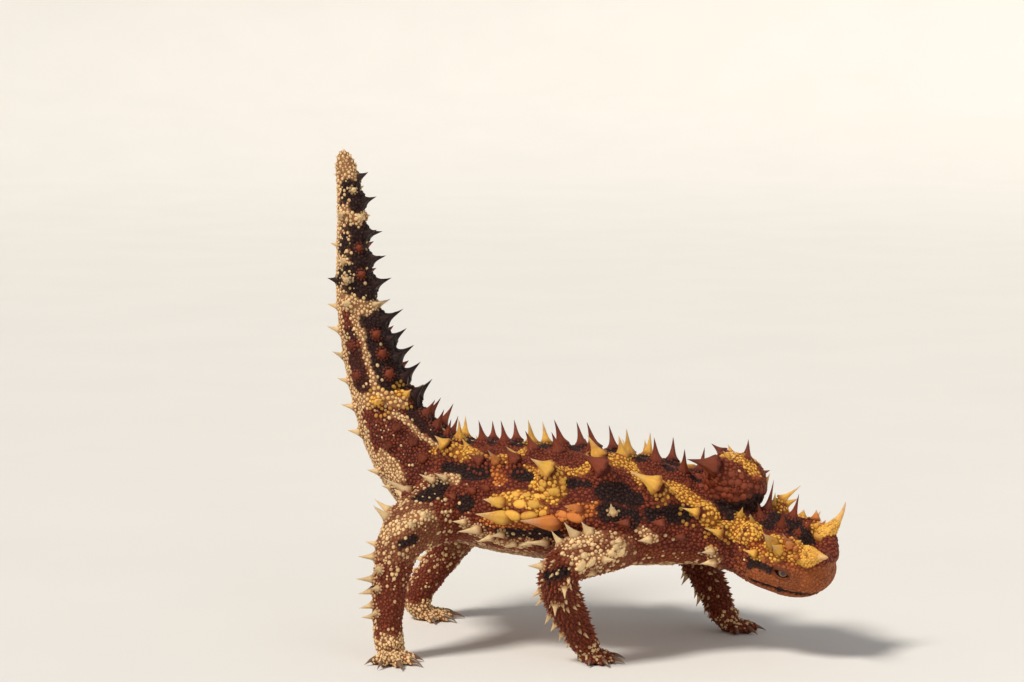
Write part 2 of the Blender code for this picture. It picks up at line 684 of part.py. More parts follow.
def leg_names(leg):
    """The names of a leg's upper part, lower part and foot."""
    pair, word = leg.split("_")
    names = ("upper_arm", "forearm", "hand") if pair == "front" else ("thigh", "shin", "foot")
    return [name + "_" + word for name in names]


def leg_parts(leg, tube, grown, parts, cutters):
    """A leg as an upper part, a lower part and a foot without its toes."""
    upper, lower, foot = leg_names(leg)
    knee, ankle = KNEE_AT * tube.length, ANKLE_AT * tube.length
    made = {
        upper: loft(upper, tube.rings(0.0, knee - HALF_GAP, 7, 10), parts),
        lower: loft(lower, tube.rings(knee + HALF_GAP, ankle - HALF_GAP, 8, 10), parts),
        foot: loft(foot, tube.rings(ankle + HALF_GAP, tube.length, 4, 10), parts),
    }
    for name in (upper, lower):
        boolean(made[name], "DIFFERENCE", grown["torso"])
    if leg.startswith("hind"):
        boolean(made[upper], "DIFFERENCE", grown["tail_base"])
    grown[lower] = loft(lower + "_grown", tube.rings(knee, ankle + HALF_GAP, 8, 10, 2 * HALF_GAP), cutters)
    return made


def leg_thorns(leg, tube, rows, span):
    """The thorns of a leg's rows, whose places are shares of its length, for the leg's own side."""
    side = -1 if leg.endswith("left") else 1
    for row in rows:
        own = row._replace(angle=side * row.angle, start=row.start * tube.length, end=row.end * tube.length,
                           both=False)
        yield from row_thorns(tube, own, span)


def add_toes(foot, leg, lower_grown, floor, work):
    """A pad and five toes in a fan, each a blunt peg with a claw that slopes to the ground, on a flat sole."""
    x, y, _, radius = LEGS[leg]["line"][-1]
    pad_place = Matrix.Translation(Vector((x, y, PAD_HEIGHT)) * UNIT)
    ellipsoid("pad", pad_place, [radius * share for share in PAD_SIZES], 14, 8, work)
    side = -1 if leg.endswith("right") else 1
    for spread, share in TOES:
        heading = math.radians(LEGS[leg]["heading"] + side * spread)
        along = Vector((math.cos(heading), math.sin(heading), 0.0))
        length = LEGS[leg]["toe"] * share
        rim = radius * SOLE_RIM
        root = (Vector((x, y, TOE_ROOT_HEIGHT)) + along * TOE_ROOT_OUT) * UNIT
        knuckle = (Vector((x, y, KNUCKLE_HEIGHT)) + along * (rim + length * KNUCKLE_OUT)) * UNIT
        tip = (Vector((x, y, CLAW_TIP_HEIGHT)) + along * (rim + length * CLAW_TIP_OUT)) * UNIT
        peg("toe", root, knuckle, TOE_RADII, 7, work)
        peg("claw", knuckle + (knuckle - tip) * CLAW_OVERLAP, tip, CLAW_RADII, 5, work)
    boolean(foot, "UNION", work)
    empty_collection(work)
    boolean(foot, "DIFFERENCE", lower_grown)
    boolean(foot, "DIFFERENCE", floor)


def finish(obj):
    """Gives the object its material, and smooth shading with its sharp edges kept."""
    name = next(name for name, (_, _, starts) in FINISHES.items() if obj.name.startswith(starts))
    colour, roughness, _ = FINISHES[name]
    material = bpy.data.materials.get(name) or bpy.data.materials.new(name)
    material.use_nodes = True
    shader = material.node_tree.nodes["Principled BSDF"]
    shader.inputs["Base Color"].default_value = (*colour, 1.0)
    shader.inputs["Roughness"].default_value = roughness
    shader.inputs["Metallic"].default_value = 0.0
    obj.data.materials.clear()
    obj.data.materials.append(material)
    obj.data.shade_smooth()
    obj.data.set_sharp_from_angle(angle=math.radians(SHARP_ANGLE))


def centre_on_origin(objects):
    """Moves the model so that its box stands centred on the origin."""
    points = np.array([vert.co for obj in objects for vert in obj.data.vertices])
    middle = (points.min(axis=0) + points.max(axis=0)) / 2
    for obj in objects:
        obj.location = (-middle[0], -middle[1], 0.0)


def main():
    clear_scene()
    parts = collection_named("thorny_devil")
    cutters = collection_named("cutters")
    work = collection_named("work")
    trunk, head = Tube(TRUNK_SECTIONS), Tube(HEAD_SECTIONS, head_matrix())
    legs = {leg: leg_tube(leg) for leg in LEGS}

    made, grown = trunk_parts(trunk, head, parts, cutters)
    head_made, head_grown = head_parts(head, parts, cutters, work)
    made.update(head_made)
    made.update(horn_parts(head, head_grown, parts))
    made["nape_knob"] = knob_part(grown, parts)
    for leg, tube in legs.items():
        made.update(leg_parts(leg, tube, grown, parts, cutters))

    bodies = {name: tree_of(obj) for name, obj in made.items()}
    spans = {name: (TAIL_ROWS, trunk, span) for name, span in TAIL_LENGTHS.items()}
    spans["torso"] = (TORSO_ROWS, trunk, TORSO_SPAN)
    spans["neck"] = (NECK_ROWS, trunk, (NECK_START, trunk.length))
    spans["head"] = (HEAD_ROWS, head, (0.0, head.length))
    for name, (rows, tube, span) in spans.items():
        add_thorns(made[name], [t for row in rows for t in row_thorns(tube, row, span)], work, bodies)
    add_thorns(made["nape_knob"], knob_thorns(), work, bodies)

    floor = block("floor", Matrix.Identity(4), (300, 300, 40), (0, 0, -20), cutters)
    for leg, tube in legs.items():
        upper, lower, foot = leg_names(leg)
        upper_rows, lower_rows = (ARM_ROWS, FOREARM_ROWS) if leg.startswith("front") else (THIGH_ROWS, SHIN_ROWS)
        knee, ankle = KNEE_AT * tube.length, ANKLE_AT * tube.length
        add_thorns(made[upper], leg_thorns(leg, tube, upper_rows, (0, knee)), work, bodies)
        add_thorns(made[lower], leg_thorns(leg, tube, lower_rows, (knee, ankle)), work, bodies)
        add_toes(made[foot], leg, grown[lower], floor, work)

    empty_collection(cutters)
    for obj in made.values():
        finish(obj)
    centre_on_origin(list(made.values()))


main()
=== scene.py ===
"""Looks of the thorny devil (Moloch horridus), life size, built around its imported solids.

Lengths in the tables are in units, of which the body has 95 from snout to vent. A place on the body is a
distance along one of its parts and an angle round it in degrees, from the middle of the back towards the
animal's left, so that the right flank has negative angles. On a leg the distance is a share of its length.
What a table gives for the right side stands on the left side too, unless it names one side.
"""

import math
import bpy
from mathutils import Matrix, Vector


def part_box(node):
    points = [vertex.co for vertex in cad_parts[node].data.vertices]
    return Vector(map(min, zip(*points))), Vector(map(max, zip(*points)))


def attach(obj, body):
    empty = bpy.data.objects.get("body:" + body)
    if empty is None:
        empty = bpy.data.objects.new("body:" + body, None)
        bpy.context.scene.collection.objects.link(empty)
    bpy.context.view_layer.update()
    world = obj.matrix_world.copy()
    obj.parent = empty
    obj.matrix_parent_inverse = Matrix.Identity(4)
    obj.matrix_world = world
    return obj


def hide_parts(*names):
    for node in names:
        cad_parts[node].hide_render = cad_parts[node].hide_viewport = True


bl_info = {
    "name": "Thorny devil",
    "version": (1, 0, 0),
    "blender": (4, 5, 0),
    "location": "View3D > Sidebar > Thorny devil",
    "description": "Builds the skin, scales, spines, horns, eyes and claws of a thorny devil, and its stage",
    "category": "Object",
}

from typing import NamedTuple

import bmesh
import bpy
import numpy as np
from mathutils import Matrix, Vector, kdtree, noise
from mathutils.bvhtree import BVHTree

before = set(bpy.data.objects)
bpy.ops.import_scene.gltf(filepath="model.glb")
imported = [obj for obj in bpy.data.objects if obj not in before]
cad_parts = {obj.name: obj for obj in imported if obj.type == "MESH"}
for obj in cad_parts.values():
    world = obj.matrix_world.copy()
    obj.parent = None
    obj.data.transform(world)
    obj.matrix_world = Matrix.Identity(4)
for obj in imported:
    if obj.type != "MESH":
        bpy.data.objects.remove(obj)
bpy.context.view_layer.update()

UNIT = 0.095 / 95
SEED = 7

# The body's forms, as in the solids: sections of the tail and trunk from the tail's tip to the back of the
# head: x, y, z, half width, height above the line, depth below it, roll in degrees, power of the outline.
TRUNK_SECTIONS = (
    (-47.6, 0.0, 109.3, 1.2, 1.2, 1.2, 0, 2.0),
    (-47.2, 0.0, 107.6, 2.1, 2.0, 2.0, 0, 2.0),
    (-46.6, 0.0, 103.5, 2.7, 2.5, 2.5, 0, 2.0),
    (-46.1, 0.0, 97.0, 3.2, 3.0, 2.8, 0, 2.0),
    (-45.8, 0.0, 88.0, 3.8, 3.6, 3.3, 0, 2.0),
    (-45.3, 0.0, 79.0, 4.5, 4.4, 3.9, 0, 2.0),
    (-43.8, 0.0, 70.5, 5.3, 5.2, 4.7, 0, 2.0),
    (-41.9, 0.0, 63.0, 6.2, 5.9, 5.5, 0, 2.0),
    (-39.5, 0.0, 55.5, 7.2, 6.5, 6.3, 1, 2.0),
    (-36.0, 0.0, 48.0, 8.6, 7.4, 7.8, 2, 2.1),
    (-30.8, 0.0, 41.0, 10.6, 8.4, 9.4, 4, 2.2),
    (-24.0, 0.0, 36.0, 13.6, 10.4, 11.2, 6, 2.3),
    (-15.0, 0.0, 32.6, 18.0, 12.6, 11.2, 8, 2.3),
    (-4.0, 0.0, 30.8, 21.0, 13.6, 11.2, 10, 2.3),
    (7.0, 0.0, 29.8, 21.8, 14.0, 11.0, 10, 2.3),
    (17.0, 0.0, 29.2, 20.2, 13.6, 10.6, 9, 2.3),
    (26.0, -0.2, 28.6, 16.2, 12.4, 9.6, 5, 2.2),
    (33.5, -0.5, 27.8, 12.0, 10.4, 8.2, -1, 2.1),
    (39.5, -0.9, 26.8, 9.4, 8.4, 7.4, -8, 2.1),
    (45.0, -1.7, 25.2, 8.8, 7.4, 7.2, -14, 2.1),
    (49.0, -2.8, 23.8, 8.8, 7.4, 7.2, -15, 2.1),
)
TAIL_END, NECK_AT = 77.0, 142.0
LEFT_AHEAD = 2.2
TAIL_TIP = ((-47.5, 0.0, 108.6), (1.5, 1.5, 1.7))
HEAD_ROOT = (46.2, -2.0, 24.8)
HEAD_YAW, HEAD_PITCH, HEAD_ROLL = -16.0, 18.0, 15.0
HEAD_SECTIONS = (
    (0.0, 0.0, 0.0, 8.8, 7.4, 7.2, 0, 2.1),
    (3.5, 0.0, -0.2, 9.2, 8.2, 7.4, 0, 2.2),
    (7.5, 0.0, -0.4, 9.0, 8.6, 7.0, 0, 2.3),
    (11.0, 0.0, -0.4, 8.3, 8.4, 6.6, 0, 2.4),
    (13.8, 0.0, 0.2, 7.3, 7.4, 6.1, 0, 2.4),
    (15.8, 0.0, 1.2, 6.0, 5.4, 5.1, 0, 2.4),
    (17.2, 0.0, 2.2, 4.4, 3.4, 3.6, 0, 2.2),
    (17.9, 0.0, 2.8, 2.4, 1.7, 1.9, 0, 2.0),
)
EYE_PLACE, EYE_RADIUS = (10.6, 6.5, 1.0), 1.9
LID_SIZES = (3.5, 2.9, 2.9)
MOUTH_CORNER, MOUTH_SLOPE = (4.2, 0.0, -3.3), 1.0
# How deep and half as wide the mouth's line is, and the hollows of mouth and nostrils that get painted shade
# in
# the dark tone: how deep they are, and how far from the eye.
MOUTH_GROOVE, PAINTED_SHADE_DEPTH, PAINTED_SHADE_FROM_EYE = 0.55, 0.14, 3.4
NOSTRIL_PLACE = (16.6, 3.4, 3.2)
HORN_AT = (14.4, 42.0)
HORN_POINTS = {"left": (0.20, 0.56, 0.75), "right": (0.72, -0.46, 0.52)}
HORN_LENGTH, HORN_RADIUS, HORN_BOW, HORN_SINK = 9.2, 3.0, 0.5, 1.4
# The horns' width beside the solids', since scales cover their feet, and how many grooves they have.
HORN_WIDTH, HORN_GROOVES = 0.86, 7
KNOB_PLACE, KNOB_SIZES = (41.4, -0.6, 37.6), (7.2, 7.6, 6.8)
# Each leg's line from inside the body to the sole as x, y, z and radius, its foot's heading in degrees from
# +X to +Y, and the length of its longest toe.
LEGS = {
    "hind_right": (
        ((-19.0, -6.0, 32.0, 7.2), (-22.5, -12.0, 31.0, 7.2), (-26.0, -18.5, 29.6, 6.2),
         (-28.6, -23.2, 26.2, 5.0), (-30.0, -24.6, 20.5, 4.0), (-30.8, -25.0, 14.0, 3.4),
         (-31.2, -25.0, 8.0, 3.1), (-30.9, -25.3, 4.4, 3.2), (-29.8, -26.6, 2.4, 2.9)), -62.0, 5.6),
    "hind_left": (
        ((-19.0, 6.0, 31.5, 7.2), (-21.5, 11.0, 29.6, 7.2), (-23.0, 15.2, 26.6, 6.0),
         (-24.6, 17.6, 21.6, 4.8), (-28.0, 17.2, 16.0, 3.9), (-31.8, 16.2, 10.6, 3.4),
         (-34.6, 15.4, 6.4, 3.1), (-35.0, 15.4, 4.0, 3.1), (-32.6, 15.8, 2.4, 2.9)), 14.0, 5.6),
    "front_right": (
        ((22.0, -6.0, 27.0, 5.8), (19.5, -12.0, 26.6, 5.8), (14.8, -18.6, 25.2, 5.0),
         (9.0, -24.8, 23.3, 4.3), (6.8, -25.6, 19.8, 4.0), (7.4, -22.6, 14.6, 3.7),
         (9.4, -19.4, 8.6, 3.1), (10.8, -17.6, 4.6, 2.9), (12.6, -17.0, 2.4, 2.7)), -12.0, 4.8),
    "front_left": (
        ((20.0, 6.0, 27.0, 5.8), (21.5, 12.0, 26.0, 5.8), (24.0, 18.4, 24.0, 5.0),
         (27.0, 22.8, 20.6, 4.3), (30.0, 22.8, 16.4, 3.9), (33.0, 21.0, 11.6, 3.5),
         (35.4, 19.4, 7.2, 3.1), (36.6, 18.6, 4.4, 2.9), (39.0, 18.6, 2.4, 2.7)), 4.0, 4.8),
}
TOES = ((-74.0, 0.72), (-36.0, 0.95), (0.0, 1.0), (36.0, 0.92), (74.0, 0.72))
TOE_RADII, CLAW_RADIUS = (1.35, 1.0), 0.62
TOE_ROOT_HEIGHT, KNUCKLE_HEIGHT, CLAW_TIP_HEIGHT = 1.8, 0.95, 0.3
TOE_ROOT_OUT, KNUCKLE_OUT, CLAW_TIP_OUT, SOLE_RIM = 0.6, 0.7, 1.35, 0.5
PAD_HEIGHT, PAD_SIZES = 1.2, (1.1, 1.0, 0.6)
PARTS = ("trunk", "head", "knob", *LEGS)

# Forms that are raised on the head, in the head's frame for its left side: centre and half sizes.
HEAD_FORMS = (
    ((8.6, 5.2, 6.2), (3.4, 1.7, 1.7)),
    ((12.2, 5.2, 5.6), (3.4, 1.8, 1.8)),
    ((14.6, 4.6, 5.6), (2.4, 2.2, 1.9)),
    ((16.2, 2.6, 5.0), (2.0, 2.6, 1.7)),
    ((5.4, 7.6, -1.6), (3.4, 1.8, 3.0)),
    ((17.0, 1.5, 3.8), (1.9, 3.0, 2.2)),
)

# Tones of the markings. What no tone covers is red-brown.
TONES = {"ochre": 0, "cream": 1, "dark": 2, "orange": 3}


def entries(kind, *rows):
    """The entries of a table. A bare name among its rows is the part that the rows after it are on."""
    made_entries, part = [], None
    for row in rows:
        if isinstance(row, str):
            part = row
        else:
            made_entries.append(kind(part, *row))
    return tuple(made_entries)


class Stroke(NamedTuple):
    """A marking: a line of distance, angle and half width along a part, laid over those before it."""

    part: str
    tone: str
    line: tuple
    side: str = "both"


STROKES = entries(
    Stroke,
    # Ground of the back, between the bases of the paired spines, and the pale line along its middle.
    "trunk",
    ("dark", ((62, -10, 1.8), (75, -12, 2.2), (100, -12, 2.6), (128, -12, 2.6), (141, -12, 2.4))),
    ("cream", ((64, 0, 0.5), (78, 0, 0.55), (110, 0, 0.6), (138, 0, 0.55))),
    ("red", ((104, -34, 2.0), (111, -34, 2.2), (116, -27, 1.2))),
    ("red", ((126, -30, 1.6), (130, -26, 1.8), (138, -22, 1.8))),
    # The wavy ochre band from the hip to the neck.
    ("ochre", ((75.5, -50, 1.4), (78, -46, 2.6), (83, -43, 2.7), (88, -44, 1.5))),
    ("ochre", ((89, -45, 1.2), (93, -48, 0.8), (99, -52, 0.8), (104.5, -57, 1.0))),
    ("ochre", ((92, -40, 0.6), (96, -41, 0.9), (98.5, -36, 1.4), (100.5, -28, 1.2))),
    ("ochre", ((105.8, -66, 2.8), (108.4, -67, 3.6), (109, -75, 3.0))),
    ("ochre", ((108, -57, 1.4), (112, -54, 1.5), (116, -53, 1.3))),
    ("ochre", ((115, -44, 1.2), (118, -38, 1.8), (121, -31, 2.0), (124, -30, 1.8), (127, -46, 1.2))),
    ("ochre", ((128, -56, 1.2), (131, -60, 2.8), (131.5, -52, 2.8), (135, -41, 2.1), (138, -44, 1.9),
               (141.5, -56, 2.6), (143.5, -60, 1.8))),
    # Flank plates: ochre above, orange along their lower edge, and the orange plates before them.
    ("ochre", ((96, -87, 1.2), (100, -86, 2.2), (105, -87, 2.2), (107.5, -90, 1.2))),
    ("ochre", ((94.5, -104, 0.8), (98, -100, 1.6), (102, -98, 1.7), (106.5, -95, 1.5))),
    ("orange", ((93.5, -108, 0.6), (98.5, -110, 1.1), (105, -106, 1.0))),
    ("orange", ((104, -102, 0.6), (107, -102, 1.5), (111, -96, 1.8), (114, -90, 1.7), (119, -84, 1.3))),
    ("orange", ((93.8, -50, 1.0), (95, -62, 1.4), (96.5, -72, 1.1))),
    # Dark ground of the flank.
    ("dark", ((81, -67, 1.4), (87, -66, 1.8), (91.5, -64, 1.6))),
    ("dark", ((99.5, -62, 1.3), (103, -64, 1.4))),
    ("dark", ((112, -66, 1.0), (117, -64, 1.2))),
    ("dark", ((120, -68, 2.2), (124.5, -68, 2.6), (127.5, -69, 1.4))),
    ("dark", ((121, -86, 1.8), (127, -88, 2.2))),
    ("dark", ((130.5, -78, 1.6), (135, -72, 2.2), (138, -64, 1.6))),
    ("dark", ((81, -103, 2.0), (86, -99, 2.6), (90, -93, 1.6))),
    ("dark", ((98, -119, 1.1), (105, -117, 1.3), (111, -111, 1.2))),
    ("cream", ((128.5, -94, 0.9), (131.5, -101, 1.3))),
    ("cream", ((78.5, -90, 1.6), (81, -84, 1.8), (84.5, -77, 1.4))),
    ("cream", ((90.5, -122, 1.8), (94, -130, 1.6), (98, -138, 1.8), (103, -136, 1.2))),
    # The neck: the mound behind the cheek, the double pale spine below it and the dark between.
    ("dark", ((142, -20, 2.0), (146, -30, 1.6), (147, -44, 0.8))),
    ("ochre", ((144.5, -64, 1.8), (147, -60, 1.8))),
    ("cream", ((144, -98, 1.2), (146, -112, 1.4))),
    # Bands of the tail.
    ("dark", ((6.5, -78, 1.2), (9.5, -96, 1.0))),
    ("dark", ((18.5, -98, 1.2), (21.5, -112, 1.1))),
    ("dark", ((25.5, -88, 1.1), (29.5, -80, 1.3))),
    ("dark", ((26.0, -118, 0.9), (28.5, -130, 0.9))),
    ("cream", ((0, 0, 4.0), (2.5, 0, 4.0))),
    ("cream", ((13.2, -100, 1.4), (14.6, -42, 1.6), (14.2, -10, 1.0))),
    ("cream", ((31.5, -141, 1.5), (33, -93, 1.9), (35, -55, 1.7), (35.2, -10, 0.9))),
    ("cream", ((36.5, -82, 1.2), (41, -75, 0.8), (46, -75, 0.7), (53, -76, 0.7))),
    ("cream", ((54, -132, 2.0), (55.5, -99, 1.7), (56, -66, 1.7), (58, -48, 1.6), (58.5, -15, 1.2))),
    ("ochre", ((56, -84, 1.3), (56.4, -80, 1.2))),
    ("ochre", ((56.5, -36, 1.2), (58, -22, 1.3))),
    ("cream", ((60.5, -64, 0.8), (63, -50, 0.9), (67, -47, 0.8), (74.5, -42, 0.9))),
    ("cream", ((67, -118, 1.8), (70, -110, 1.9), (73, -112, 1.6))),
    # The head.
    "head",
    ("dark", ((0.5, -8, 3.0), (5, -4, 3.2), (10, -2, 2.6), (15, -4, 2.0))),
    ("ochre", ((0.2, -36, 2.6), (0.8, -44, 3.0), (1.2, -54, 2.0))),
    "trunk",
    ("ochre", ((149.5, -36, 2.0), (150.0, -44, 2.6), (150, -54, 1.8))),
    "head",
    ("ochre", ((6.0, -36, 1.4), (7.2, -46, 2.6), (8.8, -54, 2.0), (8.4, -62, 1.2))),
    ("orange", ((2.6, -56, 1.6), (4.5, -60, 1.3))),
    ("orange", ((10.2, -46, 1.4), (12.4, -50, 1.4), (14.0, -56, 1.0))),
    ("ochre", ((4.2, -69, 1.1), (5.0, -70, 0.8))),
    ("ochre", ((10.5, -24, 0.7), (12.2, -30, 0.9), (14.4, -38, 2.6), (16.4, -36, 1.6))),
    ("dark", ((3.4, -84, 1.2), (6.5, -82, 1.0), (9.0, -80, 0.9))),
    # The knob on the nape: ochre saddle from the top to the front, and painted shade in the dark tone on its
    # underside.
    "knob",
    ("ochre", ((5.2, -12, 1.8), (8.2, -20, 2.4), (11.0, -30, 2.0), (12.6, -50, 1.4))),
    # Painted shade under the knob, where it meets the neck.
    ("dark", ((6.0, -150, 4.0), (11.0, -150, 4.0))),
    # The legs.
    "hind",
    ("dark", ((0.17, 105, 2.0), (0.25, 110, 2.2), (0.31, 100, 1.4))),
    ("cream", ((0.33, 140, 1.2), (0.38, 120, 1.8), (0.44, 90, 1.8), (0.47, 60, 1.4))),
    ("dark", ((0.45, 140, 1.2), (0.48, 110, 1.0))),
    "front",
    ("cream", ((0.27, 165, 1.6), (0.32, 175, 1.3), (0.40, 165, 1.2), (0.47, 150, 1.6))),
    ("cream", ((0.34, 110, 1.2), (0.40, 100, 1.6), (0.46, 90, 1.6))),
    ("dark", ((0.52, 120, 1.2), (0.55, 60, 1.0))),
)


class Form(NamedTuple):
    """How a kind of spine is made: shares of its length and the radii there, its grooves, how much its
    outline is flattened towards the skin, the share of its radius where the horn starts, how far its mound
    reaches and rises beside its radius, and the radius and number of rings of the scales round its foot."""

    profile: tuple
    grooves: int
    groove_depth: float
    flat: float
    root: float
    mound_reach: float
    mound_rise: float
    foot_scale: float
    foot_rings: int


FORMS = {
    "needle": Form(((0, 0.8), (0.04, 0.92), (0.11, 0.68), (0.2, 0.48), (0.32, 0.34), (0.48, 0.235),
                    (0.68, 0.14), (0.86, 0.065)), 6, 0.15, 1.0, 0.86, 1.8, 0.5, 0.42, 1),
    "cone": Form(((0, 0.6), (0.07, 0.97), (0.16, 0.82), (0.28, 0.58), (0.42, 0.385), (0.58, 0.25),
                  (0.74, 0.15), (0.88, 0.07)), 7, 0.16, 0.95, 0.68, 1.5, 0.72, 0.58, 3),
    "plate": Form(((0, 0.5), (0.08, 0.8), (0.16, 0.96), (0.25, 1.0), (0.38, 0.84), (0.53, 0.6), (0.69, 0.38),
                   (0.85, 0.18), (0.94, 0.07)), 6, 0.16, 0.5, 0.9, 1.4, 0.3, 0.5, 1),
    "ridged": Form(((0, 0.7), (0.1, 1.0), (0.24, 0.83), (0.4, 0.6), (0.58, 0.4), (0.76, 0.22), (0.92, 0.08)),
                   7, 0.17, 0.95, 0.72, 1.4, 0.5, 0.5, 2),
    "hook": Form(((0, 0.7), (0.06, 0.9), (0.14, 0.72), (0.27, 0.53), (0.44, 0.385), (0.63, 0.25),
                 (0.82, 0.12)), 6, 0.10, 1.0, 0.85, 1.6, 0.4, 0.42, 1),
    "thorn": Form(((0, 0.8), (0.08, 0.88), (0.2, 0.62), (0.38, 0.42), (0.62, 0.235), (0.82, 0.11)),
                  5, 0.12, 1.0, 0.9, 1.6, 0.35, 0.38, 1),
}
MOUND_LEAN = 0.7
# The sizes of the waves in the markings' edges and of the mottling, in metres, and the skin's folds: how high
# they are, in units, and their size in metres.
WAVE_SIZE, MOTTLE_SIZE = 0.0022, 0.0009
FOLDS = ((0.16, 0.0031), (0.1, 0.0014))


class Spine(NamedTuple):
    """A spine: its place, length and root radius, the tone and kind, its lean towards the part's start
    and its splay away from the middle line in degrees, and how far its tip bends back as a share of its
    length."""

    part: str
    distance: float
    angle: float
    length: float
    radius: float
    tone: str
    form: str = "needle"
    lean: float = 10.0
    splay: float = 0.0
    bend: float = 0.08
    side: str = "both"


